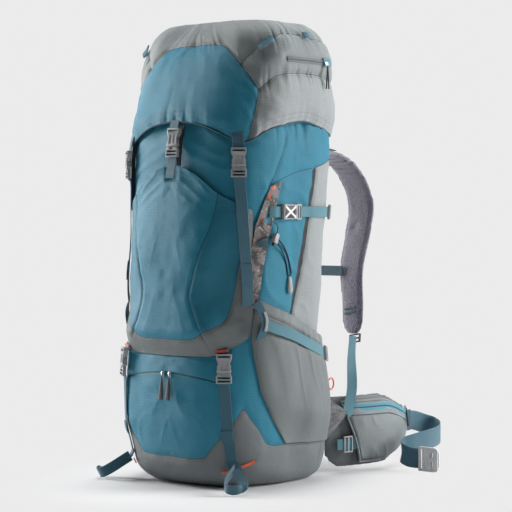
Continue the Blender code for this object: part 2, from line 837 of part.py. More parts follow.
def build_harness(socket, fork):
    """Shoulder straps, sternum strap and hip belt."""
    webbing = material("webbing", DARK_TEAL)
    foam = material("spacer_mesh", MESH_GREY, 0.9)
    grey = material("grey_fabric", GREY)
    plastic = material("buckle_plastic", BUCKLE_GREY, 0.45)
    pair(shoulder_strap, "shoulder_strap", foam)
    pair(shoulder_webbing, "shoulder_webbing", webbing)
    pair(hip_wing, "hip_wing", grey)
    pair(hip_webbing, "hip_webbing", webbing)
    mouth = Vector((-0.018, 0.2640, 0.372))
    chest = buckle_matrix(mouth, (-1, 0, 0), (0, 1, 0))
    put("sternum_buckle_socket", socket, chest, plastic)
    put("sternum_buckle_fork", fork, chest, plastic)
    points = [Vector((x, 0.2651, 0.372)) for x in spaced(0.0515, -0.017, 6)]
    place("sternum_strap", flat(points, [Vector((0, 0, 1))] * 7), webbing)
    grown = Matrix.Diagonal((BELT_BUCKLE_SCALE, 1.28, 1.20, 1.0))
    for half, mesh, side in (("socket", socket, 1), ("fork", fork, -1)):
        big = mesh.copy()
        big.transform(grown)
        reach = 1.28 * (SOCKET_BODY + SOCKET_BAR if half == "socket" else FORK_BODY + FORK_LADDER)
        start = BELT_ROUTE[-1]
        at = Vector((side * (start[0] + reach + 0.0014), start[1] - 0.0045, 0.0236))
        along = Vector((-side, 0, 0)) if half == "socket" else Vector((side, 0, 0))
        put(f"hip_buckle_{half}", big, buckle_matrix(at, along, (0, 1, 0)), plastic)


def build_lid(socket):
    lid_shell(material("grey_fabric", GREY))


def build_small_pieces():
    metal = material("zip_metal", ALUMINIUM, 0.4, 0.8)
    plastic = material("buckle_plastic", BUCKLE_GREY, 0.45)
    black = material("cord", BLACK)
    zip_at = on_surface(math.radians(-87), 0.203, 0.0022)
    slider = zip_slider("base_zip_slider_right", metal, zip_at, normal(math.radians(-87), 0.203), 0.044)
    mirrored(slider, "base_zip_slider_left")
    turn = math.radians(BELT_ZIP_TURN)
    outward = Vector((math.cos(turn), math.sin(turn), 0))
    start = Vector(BELT_ZIP_CENTRE) + outward * BELT_ZIP_RADIUS
    belt = zip_slider("belt_zip_slider_right", metal, start, outward + Vector((0, 0, 0.28)), 0.036)
    mirrored(belt, "belt_zip_slider_left")
    zip_slider("lid_zip_slider", metal, LID_ZIP_START, (1, 0, 0), 0.042)
    pair(cord_lock, "cord_lock", plastic)
    pair(cord_lock_button, "cord_lock_button", black)
    pair(side_cord, "side_cord", black)
    pair(cord_pull, "cord_pull", plastic)


def main():
    for old in list(bpy.data.objects):
        bpy.data.objects.remove(old)
    socket, fork = socket_mesh(), fork_mesh()
    build_bag()
    build_lid(socket)
    build_straps(socket, fork)
    build_harness(socket, fork)
    build_small_pieces()


main()
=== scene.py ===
"""The looks of the trekking backpack: cloth, webbing, buckles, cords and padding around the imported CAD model.

Metres, +Z up, the pack's front towards -Y. Cloth lies on the same cross sections as the CAD bag, where a
place is a turn (degrees: -90 the middle of the front, 0 the side, 90 the middle of the back) and a height.
"""

import math

import bmesh
import bpy
import numpy as np
from mathutils import Matrix, Vector


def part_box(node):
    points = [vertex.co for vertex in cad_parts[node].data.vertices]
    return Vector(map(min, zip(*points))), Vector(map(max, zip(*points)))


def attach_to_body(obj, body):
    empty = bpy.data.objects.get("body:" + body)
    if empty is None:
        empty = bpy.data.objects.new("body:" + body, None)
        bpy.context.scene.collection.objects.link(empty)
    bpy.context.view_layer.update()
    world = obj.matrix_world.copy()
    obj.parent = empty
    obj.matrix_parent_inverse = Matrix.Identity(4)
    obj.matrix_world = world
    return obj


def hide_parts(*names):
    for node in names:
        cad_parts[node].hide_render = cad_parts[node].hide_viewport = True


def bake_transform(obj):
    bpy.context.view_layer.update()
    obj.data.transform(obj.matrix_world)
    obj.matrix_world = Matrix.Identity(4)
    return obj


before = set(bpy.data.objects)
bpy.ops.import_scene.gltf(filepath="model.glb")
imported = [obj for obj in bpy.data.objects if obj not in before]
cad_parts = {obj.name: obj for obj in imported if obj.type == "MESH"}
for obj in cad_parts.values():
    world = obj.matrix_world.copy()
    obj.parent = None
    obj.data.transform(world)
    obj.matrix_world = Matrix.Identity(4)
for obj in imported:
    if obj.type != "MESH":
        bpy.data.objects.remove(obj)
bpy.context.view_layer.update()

BAG = (
    (0.000, 0.150, -0.150, 0.122),
    (0.065, 0.156, -0.161, 0.129),
    (0.130, 0.158, -0.167, 0.130),
    (0.200, 0.158, -0.167, 0.118),
    (0.300, 0.156, -0.153, 0.106),
    (0.400, 0.156, -0.150, 0.108),
    (0.500, 0.158, -0.150, 0.121),
    (0.580, 0.160, -0.146, 0.130),
    (0.625, 0.160, -0.139, 0.133),
    (0.660, 0.157, -0.128, 0.134),
)
LID = (
    (0.600, 0.167, -0.151, 0.142),
    (0.650, 0.169, -0.145, 0.146),
    (0.700, 0.170, -0.128, 0.147),
    (0.740, 0.169, -0.114, 0.146),
    (0.775, 0.166, -0.099, 0.139),
    (0.800, 0.157, -0.085, 0.127),
    (0.818, 0.138, -0.068, 0.108),
    (0.830, 0.108, -0.048, 0.080),
    (0.838, 0.060, -0.030, 0.040),
)
MIDDLE_Y = -0.010
FRONT_POWER = 2.7
BACK_POWER = 4.5
BASE_ROUND = 0.040
ARC_RADIUS = 0.165
LID_TOP = 0.8265
SIDES = (("right", 1), ("left", -1))
METRES_PER_DEGREE = 0.0029
UP = (0, 0, 1)
ACROSS = (1, 0, 0)
NO_LINE = 0.05
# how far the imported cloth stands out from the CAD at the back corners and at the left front,
# and how much slimmer the lid is on its left
FULL_BACK = 0.009
FULL_LEFT = 0.007
LID_SLIM = 0.0055

# sewn lines on the bag: (turn, height)
BASE_LINE = (
    (-90, 0.053), (-65, 0.054), (-58, 0.073), (-50, 0.099), (-44, 0.122), (-38.6, 0.141), (-34, 0.124),
    (-29, 0.106), (-20.6, 0.076), (0, 0.074), (20, 0.071), (40, 0.068), (90, 0.066),
)
POCKET_FOOT = (
    (-90, 0.233), (-74, 0.233), (-56, 0.235), (-47.6, 0.246), (-35, 0.268), (-32, 0.300), (-33, 0.322)
)
STRIP_FRONT = (
    (-43.4, 0.300), (-43.0, 0.340), (-39.5, 0.372), (-35.2, 0.400), (-32.6, 0.430), (-30.8, 0.462),
    (-27.0, 0.490), (-23.6, 0.514), (-19.5, 0.536),
)
STRIP_BACK = (
    (-33.0, 0.300), (-31.5, 0.325), (-28.6, 0.345), (-26.0, 0.388), (-23.0, 0.425), (-19.4, 0.464),
    (-15.2, 0.502), (-10.6, 0.541),
)
ZIP_LINE = (
    (-3.0, 0.280), (-0.8, 0.305), (4.0, 0.350), (9.0, 0.405), (12.4, 0.459), (14.8, 0.498), (17.2, 0.535),
    (18.6, 0.568),
)
TOP_SEAM = ((-20.2, 0.533), (-14.6, 0.565), (-9.2, 0.601), (-2.0, 0.650))
ARCH_SEAM = ((-20.6, 0.533), (-11.0, 0.545), (4.0, 0.558), (18.4, 0.567), (32.0, 0.578), (46.0, 0.592))
BOTTOM_ZIP = ((-90, 0.203), (-83, 0.202), (-67, 0.197), (-55, 0.190), (-49, 0.184))
POCKET_RIM = (
    (-90, 0.5655), (-79, 0.564), (-66, 0.546), (-53.6, 0.519), (-42, 0.502), (-34, 0.491), (-30, 0.484)
)
POCKET_GUSSET = (
    (-60.8, 0.262), (-67.4, 0.310), (-69.8, 0.338), (-68, 0.368), (-63.2, 0.417), (-57.2, 0.464),
    (-53.6, 0.516), (-52.5, 0.545),
)
POCKET_BORDER = (
    (-90, 0.260), (-70, 0.261), (-61, 0.273), (-49.4, 0.297), (-44, 0.342), (-41.5, 0.385), (-39, 0.415),
    (-37, 0.450),
)
SIDE_POCKET_RIM = ((-33, 0.338), (-30.2, 0.335), (-21.8, 0.323), (-5.6, 0.304), (19.6, 0.272), (41, 0.246))
SIDE_POCKET_PINCH = ((-33, 0.290), (-25.4, 0.286), (-7.4, 0.269), (7, 0.254), (23.2, 0.236), (41, 0.220))
SIDE_POCKET_EDGE = (
    (-7.4, 0.075), (-18.2, 0.116), (-27.8, 0.169), (-32.0, 0.223), (-33.6, 0.257), (-32.0, 0.300),
    (-30.2, 0.334),
)
# sewn lines on the lid
LID_PANEL = (
    (-90, 0.785), (-70, 0.785), (-51, 0.781), (-44, 0.765), (-38.6, 0.746), (-33.0, 0.722), (-29.0, 0.699),
    (-30.5, 0.675), (-33.0, 0.645), (-36.0, 0.605),
)
LID_TOP_SEAM = (
    (-38.6, 0.746), (-26.6, 0.775), (-15.2, 0.795), (-4.0, 0.805), (20, 0.800), (60, 0.791), (90, 0.789)
)
LID_SIDE_SEAM = (
    (-29.0, 0.699), (-22, 0.716), (-14.6, 0.727), (3.4, 0.733), (23.2, 0.731), (45, 0.722), (90, 0.716)
)
LID_HEM = (
    (-90, 0.648), (-66, 0.640), (-42, 0.611), (-34, 0.612), (-20, 0.634), (4, 0.648), (20, 0.642),
    (34, 0.630), (46, 0.626), (90, 0.634),
)

CAMERA_AT = (2.0250, -2.4130, 0.4900)
CAMERA_TURN = math.radians(40.0 - 0.94)
CAMERA_TILT = math.radians(90.0 - 1.54)
LENS_MM = 120.2
SENSOR_MM = 36.0


def srgb(r, g, b):
    """A colour from sRGB values of 0 to 255, as linear numbers."""
    shares = [v / 255 for v in (r, g, b)]
    return tuple(v / 12.92 if v < 0.04045 else ((v + 0.055) / 1.055) ** 2.4 for v in shares)


TEAL = srgb(28, 120, 145)
WEBBING = srgb(60, 100, 116)
WEBBING_PALE = srgb(80, 128, 141)
GREY = srgb(130, 137, 138)
GREY_PALE = srgb(148, 153, 154)
GREY_BASE = srgb(110, 116, 118)
STRIP_GREY = srgb(128, 122, 120)
MESH_GREY = srgb(132, 130, 142)
BLACK = srgb(22, 28, 34)
ORANGE = srgb(222, 96, 62)
PLASTIC = srgb(154, 156, 157)
PLASTIC_DARK = srgb(46, 48, 52)
SILVER = srgb(205, 208, 212)
SEAM = srgb(18, 48, 60)


# ---------------------------------------------------------------- surfaces


def dense(rows):
    """The smooth profile of a body as columns: height, half width, front Y, back Y."""
    table = []
    for i in range(len(rows) - 1):
        low, high = rows[i], rows[i + 1]
        before, after = rows[max(i - 1, 0)], rows[min(i + 2, len(rows) - 1)]
        span = high[0] - low[0]
        for t in np.arange(0, 1, 0.05):
            line = [low[0] + span * t]
            for k in (1, 2, 3):
                slope_low = (high[k] - before[k]) / (high[0] - before[0]) * span
                slope_high = (after[k] - low[k]) / (after[0] - low[0]) * span
                line.append(
                    low[k] * (2 * t**3 - 3 * t**2 + 1)
                    + slope_low * (t**3 - 2 * t**2 + t)
                    + high[k] * (3 * t**2 - 2 * t**3)
                    + slope_high * (t**3 - t**2)
                )
            table.append(line)
    table.append(list(rows[-1]))
    return np.array(table)


PROFILE = {"bag": dense(BAG), "lid": dense(LID)}


def outline(theta, z, body="bag", out=0.0):
    """Points of the cross sections at polar angles and heights, as an array with x, y, z last."""
    profile = PROFILE[body]
    half_width, front, back = (np.interp(z, profile[:, 0], profile[:, k]) for k in (1, 2, 3))
    c, s = np.cos(theta), np.sin(theta)
    depth = np.where(s > 0, back - MIDDLE_Y, MIDDLE_Y - front)
    power = np.where(s > 0, BACK_POWER, FRONT_POWER)
    radius = ((np.abs(c) / half_width) ** power + (np.abs(s) / depth) ** power) ** (-1 / power)
    turn = turn_of(theta)
    if body == "bag":
        rounded = BASE_ROUND - 0.016 * ease((turn + 25) / 30)
        below = np.maximum(rounded - z, 0)
        radius = radius - rounded + np.sqrt(rounded**2 - below**2)
        full_back = between(z, 0.26, 0.10, 0.68, 0.05) + 0.65 * between(z, 0, 0.05, 0.26, 0.10)
        full_left = (c < 0) * between(turn, -67, 18, -8, 22) * between(z, 0.05, 0.06, 0.46, 0.12)
        radius = radius + FULL_BACK * between(turn, -2, 22, 66, 22) * full_back + FULL_LEFT * full_left
    else:
        radius = radius - LID_SLIM * (c < 0) * between(turn, -80, 25, 15, 25) * ease((z - 0.63) / 0.05)
    radius = radius + out
    return np.stack([radius * c, MIDDLE_Y + radius * s, z + 0 * radius], -1)


def unit(v):
    return v / np.maximum(np.linalg.norm(v, axis=-1, keepdims=True), 1e-12)


def surface(theta, z, out, body="bag"):
    """Points at a distance outside the bag or the lid."""
    theta, z, out = np.broadcast_arrays(
        np.asarray(theta, float), np.asarray(z, float), np.asarray(out, float)
    )
    step = 1e-3
    low, high = np.maximum(z - step, 1e-5), z + step
    around = outline(theta + step, z, body) - outline(theta - step, z, body)
    up = outline(theta, high, body) - outline(theta, low, body)
    return outline(theta, z, body) + unit(np.cross(around, up)) * out[..., None]


def turn_of(theta):
    """Degrees from the middle of the front (-90) to the middle of the back (90), the same on both sides."""
    return np.degrees(np.arctan2(np.sin(theta), np.abs(np.cos(theta))))


def theta_of(turn, side):
    """The polar angle, in radians, of a turn on the right (1) or left (-1) side."""
    angle = np.radians(turn)
    return angle if side > 0 else math.pi - angle


def at(turn, z, out=0.0, side=1, body="bag"):
    return Vector(surface(theta_of(turn, side), z, out, body))


def facing(turn, z, side=1, body="bag"):
    return (at(turn, z, 0.01, side, body) - at(turn, z, 0, side, body)).normalized()


# ---------------------------------------------------------------- lines and fields


def smooth_line(points, per_span=10):
    """The smooth curve through a few points of any dimension, as an array."""
    p = np.array(points, float)
    rows = []
    for i in range(len(p) - 1):
        before, after = p[max(i - 1, 0)], p[min(i + 2, len(p) - 1)]
        a, b = p[i], p[i + 1]
        for k in range(per_span):
            t = k / per_span
            rows.append(
                0.5
                * (
                    2 * a
                    + (b - before) * t
                    + (2 * before - 5 * a + 4 * b - after) * t * t
                    + (3 * a - before - 3 * b + after) * t**3
                )
            )
    rows.append(p[-1])
    return np.array(rows)


def even(points, step):
    """Points a step apart along the smooth curve through a few points."""
    line = smooth_line(points, 14)
    run = np.concatenate([[0], np.cumsum(np.linalg.norm(np.diff(line, axis=0), axis=1))])
    count = max(int(round(run[-1] / step)), 2)
    at_run = np.linspace(0, run[-1], count + 1)
    return np.stack([np.interp(at_run, run, line[:, k]) for k in range(line.shape[1])], -1)


def arc(turn):
    """Metres around the body from the middle of its front."""
    return np.radians(turn + 90) * ARC_RADIUS


def signed(line, turn, z):
    """Signed distance in metres from a sewn line: positive on its left, from its first point to its last."""
    points = smooth_line([(arc(t), h) for t, h in line], 6)
    s, h = arc(turn).ravel(), z.ravel()
    steps = np.diff(points, axis=0)
    heading = unit(steps)
    bends = np.concatenate([heading[:1], unit(heading[:-1] + heading[1:]), heading[-1:]])
    best = np.full(s.shape, 1e9)
    sign = np.ones(s.shape)
    for k, ((s0, h0), (ds, dh)) in enumerate(zip(points[:-1], steps)):
        t = np.clip(((s - s0) * ds + (h - h0) * dh) / max(ds * ds + dh * dh, 1e-12), 0, 1)
        off_s, off_h = s - s0 - t * ds, h - h0 - t * dh
        away = np.hypot(off_s, off_h)
        nearer = away < best - 1e-12
        # at a corner of the line, its mean direction tells the sides apart
        way_s = np.where(t <= 0, bends[k][0], np.where(t >= 1, bends[k + 1][0], heading[k][0]))
        way_h = np.where(t <= 0, bends[k][1], np.where(t >= 1, bends[k + 1][1], heading[k][1]))
        cross = way_s * off_h - way_h * off_s
        sign = np.where(nearer, np.where(cross >= 0, 1, -1), sign)
        best = np.where(nearer, away, best)
    return (best * sign).reshape(turn.shape)


def height_on(line, turn):
    """Height of a line that runs around the body, at each turn."""
    points = smooth_line(line, 6)
    order = np.argsort(points[:, 0])
    return np.interp(turn, points[order, 0], points[order, 1])


def ease(t):
    t = np.clip(t, 0, 1)
    return t * t * (3 - 2 * t)


def between(value, low, rise, high, fall):
    """1 inside a range, easing from 0 over the rise that starts at its low end, and back over the fall."""
    return ease((value - low) / rise) * ease((high - value) / fall)


def noise(a, b, size_a, size_b, seed):
    """Smooth noise from -1 to 1 over two coordinates, with cells of the given sizes."""
    grid = np.random.RandomState(seed).rand(67, 67) * 2 - 1
    u, v = np.asarray(a) / size_a, np.asarray(b) / size_b
    i, j = np.floor(u).astype(int), np.floor(v).astype(int)
    fu, fv = ease(u - i), ease(v - j)
    i0, j0, i1, j1 = i % 67, j % 67, (i + 1) % 67, (j + 1) % 67
    low = grid[i0, j0] * (1 - fu) + grid[i1, j0] * fu
    high = grid[i0, j1] * (1 - fu) + grid[i1, j1] * fu
    return low * (1 - fv) + high * fv


def folds(a, b, size_a, size_b, seed):
    """Creases: sharp ridges in smooth cloth, from 0 to 1."""
    return (1 - np.abs(noise(a, b, size_a, size_b, seed))) ** 3


def groove(distance, depth, width):
    return -depth * np.exp(-((distance / width) ** 2))


def gathers(distance, along, seed, reach=0.010, pitch=0.0085):
    """Narrow creases pressed in beside a sewn line, from 0 to 1."""
    return (1 - np.abs(noise(along, 0 * along, pitch, 1.0, seed))) ** 6 * np.exp(-np.abs(distance) / reach)


def puckers(distance, along, seed, reach=0.016, pitch=0.011, depth=0.0008):
    """Small gathers that run away from a sewn line."""
    wave = noise(along, distance * 0 + 0.3, pitch, 1.0, seed)
    return depth * wave * np.exp(-((np.abs(distance) / reach) ** 1.5))


# ---------------------------------------------------------------- meshes


def as_object(name, mesh, finishes):
    made = bpy.data.objects.new(name, mesh)
    for finish in finishes:
        mesh.materials.append(finish)
    bpy.context.scene.collection.objects.link(made)
    return made


def stack(name, rings, finish, caps=True, sharp=50.0, fields=None):
    """A solid from an array (rings, points, 3). Without caps, the last ring joins the first."""
    rings = np.asarray(rings, float)
    n, m = rings.shape[:2]
    mesh = bpy.data.meshes.new(name)
    faces = []
    for i in range(n - 1 if caps else n):
        a, b = i * m, (i + 1) % n * m
        faces += [(a + k, a + (k + 1) % m, b + (k + 1) % m, b + k) for k in range(m)]
    if caps:
        faces += [tuple(range(m - 1, -1, -1)), tuple(range((n - 1) * m, n * m))]
    mesh.from_pydata(rings.reshape(-1, 3).tolist(), [], faces)
    for field, values in (fields or {}).items():
        values = np.asarray(values, float)
        kind = "FLOAT_VECTOR" if values.ndim == 3 else "FLOAT"
        layer = mesh.attributes.new(field, kind, "POINT")
        layer.data.foreach_set("vector" if values.ndim == 3 else "value", values.reshape(-1))
    mesh.update()
    bm = bmesh.new()
    bm.from_mesh(mesh)
    bmesh.ops.recalc_face_normals(bm, faces=bm.faces)
    bm.to_mesh(mesh)
    bm.free()
    mesh.shade_smooth()
    mesh.set_sharp_from_angle(angle=math.radians(sharp))
    return as_object(name, mesh, [finish])


def sheet_solid(name, grid, thick, finish, fields, sharp=50.0):
    """Cloth of a thickness under a grid of points (across, up, 3), closed at its edges."""
    du, dv = np.gradient(grid, axis=0), np.gradient(grid, axis=1)
    inner = grid - unit(np.cross(du, dv)) * thick
    rings = np.concatenate([grid, inner[:, ::-1]], axis=1)
    both = {k: np.concatenate([v, v[:, ::-1]], axis=1) for k, v in fields.items()}
    return stack(name, rings, finish, sharp=sharp, fields=both)


def band(name, points, widths, width, thick, finish, step=0.004):
    """A strap along points: widths gives its width direction, one for all or one for each point."""
    line = even(points, step)
    share = np.linspace(0, 1, len(line))
    widths = np.atleast_2d(np.array(widths, float))
    given = np.linspace(0, 1, len(widths))
    directions = np.stack([np.interp(share, given, widths[:, k]) for k in range(3)], -1)
    along = unit(np.gradient(line, axis=0))
    side = unit(directions - along * (directions * along).sum(-1, keepdims=True))
    face = np.cross(side, along)
    half, deep = width / 2, thick / 2
    profile = [(1, 0.3), (0.964, 1), (0.5, 1), (0, 1), (-0.5, 1), (-0.964, 1), (-1, 0.3)]
    profile += [(x, -y) for x, y in reversed(profile)]
    rings, cloth = [], []
    run = np.concatenate([[0], np.cumsum(np.linalg.norm(np.diff(line, axis=0), axis=1))])
    for i in range(len(line)):
        rings.append([line[i] + side[i] * half * x + face[i] * deep * y for x, y in profile])
        cloth.append([(half * x, run[i], half) for x, _ in profile])
    return stack(name, rings, finish, fields={"cloth": np.array(cloth)})


def lay(points, out_side=1, body="bag"):
    """World points and width directions of a strap laid through (turn, height, out) places on a body."""
    line = even([(t, z * 1000, out * 1000) for t, z, out in points], 6.0)
    places, widths = [], []
    for t, z, out in line:
        places.append(at(t, z / 1000, out / 1000, out_side, body))
    for i, (t, z, _) in enumerate(line):
        along = places[min(i + 1, len(places) - 1)] - places[max(i - 1, 0)]
        widths.append(facing(t, z / 1000, out_side, body).cross(along).normalized())
    return places, widths


def tube(name, points, radius, finish, resolution=3):
    """A round cord on a smooth route."""
    data = bpy.data.curves.new(name, "CURVE")
    data.dimensions = "3D"
    data.bevel_depth = radius
    data.bevel_resolution = resolution
    data.use_fill_caps = True
    line = even(points, radius * 2.2)
    spline = data.splines.new("POLY")
    spline.points.add(len(line) - 1)
    for point, p in zip(spline.points, line):
        point.co = (*p, 1.0)
    made = bpy.data.objects.new(name, data)
    data.materials.append(finish)
    bpy.context.scene.collection.objects.link(made)
    return made


def prism(corners, low, high):
    """A flat outline in X and Y from one height to another, as a bmesh-ready mesh."""
    mesh = bpy.data.meshes.new("prism")
    n = len(corners)
    points = [(x, y, z) for z in (low, high) for x, y in corners]
    faces = [tuple(range(n - 1, -1, -1)), tuple(range(n, 2 * n))]
    faces += [(k, (k + 1) % n, n + (k + 1) % n, n + k) for k in range(n)]
    mesh.from_pydata(points, [], faces)
    return mesh


def box_mesh(x0, x1, y0, y1, z0, z1):
    return prism([(x0, y0), (x1, y0), (x1, y1), (x0, y1)], z0, z1)


def moulded(mesh, cutters=(), bevel=0.0006, joined=()):
    """A moulded piece: cutters taken out, other solids joined on, and its edges rounded."""
    body = bpy.data.objects.new("moulding", mesh)
    bpy.context.scene.collection.objects.link(body)
    tools = []
    for kind, group in (("DIFFERENCE", cutters), ("UNION", joined)):
        for cutter in group:
            tool = bpy.data.objects.new("tool", cutter)
            bpy.context.scene.collection.objects.link(tool)
            step = body.modifiers.new("shape", "BOOLEAN")
            step.operation = kind
            step.solver = "EXACT"
            step.object = tool
            tools.append(tool)
    rounding = body.modifiers.new("round", "BEVEL")
    rounding.width = bevel
    rounding.segments = 2
    rounding.limit_method = "ANGLE"
    rounding.angle_limit = math.radians(40)
    bpy.context.view_layer.update()
    graph = bpy.context.evaluated_depsgraph_get()
    made = bpy.data.meshes.new_from_object(body.evaluated_get(graph))
    for used in [body, *tools]:
        bpy.data.objects.remove(used)
    made.shade_smooth()
    made.set_sharp_from_angle(angle=math.radians(30))
    return made


def basis(origin, along, outward):
    """Stands a moulding at a point: its Y along, its Z outward."""
    z = Vector(outward).normalized()
    y = Vector(along)
    y = (y - z * y.dot(z)).normalized()
    turned = Matrix((y.cross(z), y, z)).transposed().to_4x4()
    return Matrix.Translation(origin) @ turned


def put(name, mesh, matrix, finish, side=1):
    """A copy of a mesh, placed, and mirrored in X = 0 for the left side."""
    made = mesh.copy()
    made.transform(matrix)
    if side < 0:
        made.transform(Matrix.Scale(-1, 4, (1, 0, 0)))
        made.flip_normals()
    made.materials.clear()
    return as_object(name, made, [finish])


def attach(piece, body, slot, *nodes):
    """Rides a piece on a body and hides the CAD nodes it stands for."""
    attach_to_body(piece, body)
    if nodes:
        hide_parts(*nodes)
    return piece


def ribbon(name, body, points, widths, width, thick, finish, *nodes, step=0.004, slot="webbing"):
    """A strap along world points that rides a body."""
    return attach(band(name, points, widths, width, thick, finish, step=step), body, slot, *nodes)


def tie(piece, slot, body, other, start, end, *nodes):
    """Hides the CAD nodes a strap stands for and bakes its placement into its mesh."""
    if nodes:
        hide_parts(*nodes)
    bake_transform(piece)


def mould_on(name, mesh, matrix, finish, side, body, *nodes):
    """A moulded plastic piece that rides a body."""
    return attach(put(name, mesh, matrix, finish, side), body, "buckle_plastic", *nodes)


# ---------------------------------------------------------------- materials


class Graph:
    """A material's nodes, made in a few words."""

    def __init__(self, name, roughness=0.8, metallic=0.0):
        self.material = bpy.data.materials.new(name)
        self.material.use_nodes = True
        self.tree = self.material.node_tree
        self.shader = self.tree.nodes["Principled BSDF"]
        self.shader.inputs["Roughness"].default_value = roughness
        self.shader.inputs["Metallic"].default_value = metallic
        self.shader.inputs["Specular IOR Level"].default_value = 0.24 if metallic == 0 else 0.5

    def link(self, value, socket):
        if isinstance(value, bpy.types.NodeSocket):
            self.tree.links.new(value, socket)
        else:
            socket.default_value = value

    def math(self, operation, a, b=0.0, c=None):
        node = self.tree.nodes.new("ShaderNodeMath")
        node.operation = operation
        self.link(a, node.inputs[0])
        self.link(b, node.inputs[1])
        if c is not None:
            self.link(c, node.inputs[2])
        return node.outputs[0]

    def mix(self, share, a, b):
        node = self.tree.nodes.new("ShaderNodeMix")
        node.data_type = "RGBA"
        self.link(share, node.inputs["Factor"])
        for value, socket in ((a, node.inputs["A"]), (b, node.inputs["B"])):
            self.link((*value, 1.0) if isinstance(value, tuple) else value, socket)
        return node.outputs["Result"]

    def attribute(self, name, output="Fac"):
        node = self.tree.nodes.new("ShaderNodeAttribute")
        node.attribute_name = name
        return node.outputs[output]

    def place(self, stretch=(1, 1, 1), source="object"):
        """Coordinates in metres: the object's own, or a piece's cloth coordinates."""
        scaling = self.tree.nodes.new("ShaderNodeMapping")
        scaling.inputs["Scale"].default_value = stretch
        if source == "cloth":
            self.link(self.attribute("cloth", "Vector"), scaling.inputs["Vector"])
        else:
            self.link(self.tree.nodes.new("ShaderNodeTexCoord").outputs["Object"], scaling.inputs["Vector"])
        return scaling.outputs[0]

    def noise(self, scale, detail=3.0, stretch=(1, 1, 1), source="object"):
        node = self.tree.nodes.new("ShaderNodeTexNoise")
        self.link(self.place(stretch, source), node.inputs["Vector"])
        node.inputs["Scale"].default_value = scale
        node.inputs["Detail"].default_value = detail
        return node.outputs["Fac"]

    def wave(self, direction, per_metre, source="cloth"):
        """A soft ridge across the cloth, so many to the metre: 0 to 1."""
        node = self.tree.nodes.new("ShaderNodeTexWave")
        node.bands_direction = direction
        self.link(self.place((1, 1, 1), source), node.inputs["Vector"])
        node.inputs["Scale"].default_value = per_metre / 20 * math.pi * 2
        return node.outputs["Fac"]

    def cells(self, scale, source="object", stretch=(1, 1, 1)):
        node = self.tree.nodes.new("ShaderNodeTexVoronoi")
        self.link(self.place(stretch, source), node.inputs["Vector"])
        node.inputs["Scale"].default_value = scale
        return node.outputs["Distance"]

    def band(self, distance, half, soft):
        """1 within a half width of a line, falling to 0 over a soft edge."""
        away = self.math("SUBTRACT", self.math("ABSOLUTE", distance), half)
        return self.math("SUBTRACT", 1.0, self.step(away, soft))

    def step(self, value, soft):
        """0 below zero and 1 above it, with a soft edge."""
        node = self.tree.nodes.new("ShaderNodeMapRange")
        node.clamp = True
        self.link(value, node.inputs["Value"])
        node.inputs["From Min"].default_value = -soft
        node.inputs["From Max"].default_value = soft
        return node.outputs["Result"]

    def bump(self, height, distance, strength=1.0):
        node = self.tree.nodes.new("ShaderNodeBump")
        self.link(height, node.inputs["Height"])
        node.inputs["Distance"].default_value = distance
        node.inputs["Strength"].default_value = strength
        self.tree.links.new(node.outputs["Normal"], self.shader.inputs["Normal"])

    def finish(self, colour, sheen=0.0):
        self.link(
            colour if not isinstance(colour, tuple) else (*colour, 1.0), self.shader.inputs["Base Color"]
        )
        self.shader.inputs["Sheen Weight"].default_value = sheen
        return self.material


def shade(colour, factor):
    return tuple(min(v * factor, 1.0) for v in colour)


def fabric(
    name, colour, zones=(), seams=(), stitches=(), ripstop=True, roughness=0.48, sheen=0.02, coarse=False,
    zips=(),
):
    """Woven cloth. zones are (attribute, colour), positive inside; seams, zips and stitches name lines."""
    g = Graph(name, roughness)
    shown = colour
    for field, other in zones:
        shown = g.mix(g.step(g.attribute(field), 0.0006), shown, other)
    broad = g.noise(9.0, 2.0)
    fine = g.noise(420.0, 2.0)
    shown = g.mix(g.math("MULTIPLY", broad, 0.04), shown, GREY_PALE)
    tint = g.math("MULTIPLY_ADD", fine, 0.34, 0.83)
    darkened = g.tree.nodes.new("ShaderNodeMix")
    darkened.data_type = "RGBA"
    darkened.blend_type = "MULTIPLY"
    darkened.inputs["Factor"].default_value = 1.0
    g.link(shown, darkened.inputs["A"])
    g.link(tint, darkened.inputs["B"])
    shown = darkened.outputs["Result"]
    per_metre = 520 if coarse else 900
    weave = g.math("ADD", g.wave("X", per_metre), g.wave("Y", per_metre))
    height = g.math("MULTIPLY", weave, 0.5)
    if ripstop:
        grid = g.math(
            "MAXIMUM", g.math("POWER", g.wave("X", 190), 16.0), g.math("POWER", g.wave("Y", 190), 16.0)
        )
        shown = g.mix(g.math("MULTIPLY", grid, 0.035), shown, GREY_PALE)
        height = g.math("MULTIPLY_ADD", grid, 0.35, height)
    height = g.math("MULTIPLY_ADD", g.noise(60.0, 3.0), 1.6, height)
    for field in seams:
        line = g.band(g.attribute(field), 0.0005, 0.0005)
        shown = g.mix(g.math("MULTIPLY", line, 0.85), shown, SEAM)
        height = g.math("MULTIPLY_ADD", line, -2.0, height)
    for field in zips:
        line = g.band(g.attribute(field), 0.0013, 0.0006)
        shown = g.mix(g.math("MULTIPLY", line, 0.9), shown, shade(SEAM, 0.6))
        height = g.math("MULTIPLY_ADD", line, -2.0, height)
    for field in stitches:
        beside = g.math("SUBTRACT", g.math("ABSOLUTE", g.attribute(field)), 0.0042)
        row = g.band(beside, 0.00035, 0.0003)
        dash = g.math("GREATER_THAN", g.wave("DIAGONAL", 260), 0.45)
        thread = g.math("MULTIPLY", row, dash)
        shown = g.mix(g.math("MULTIPLY", thread, 0.55), shown, shade(SEAM, 1.6))
        height = g.math("MULTIPLY_ADD", thread, 1.5, height)
    g.bump(height, 0.00022)
    return g.finish(shown, sheen)


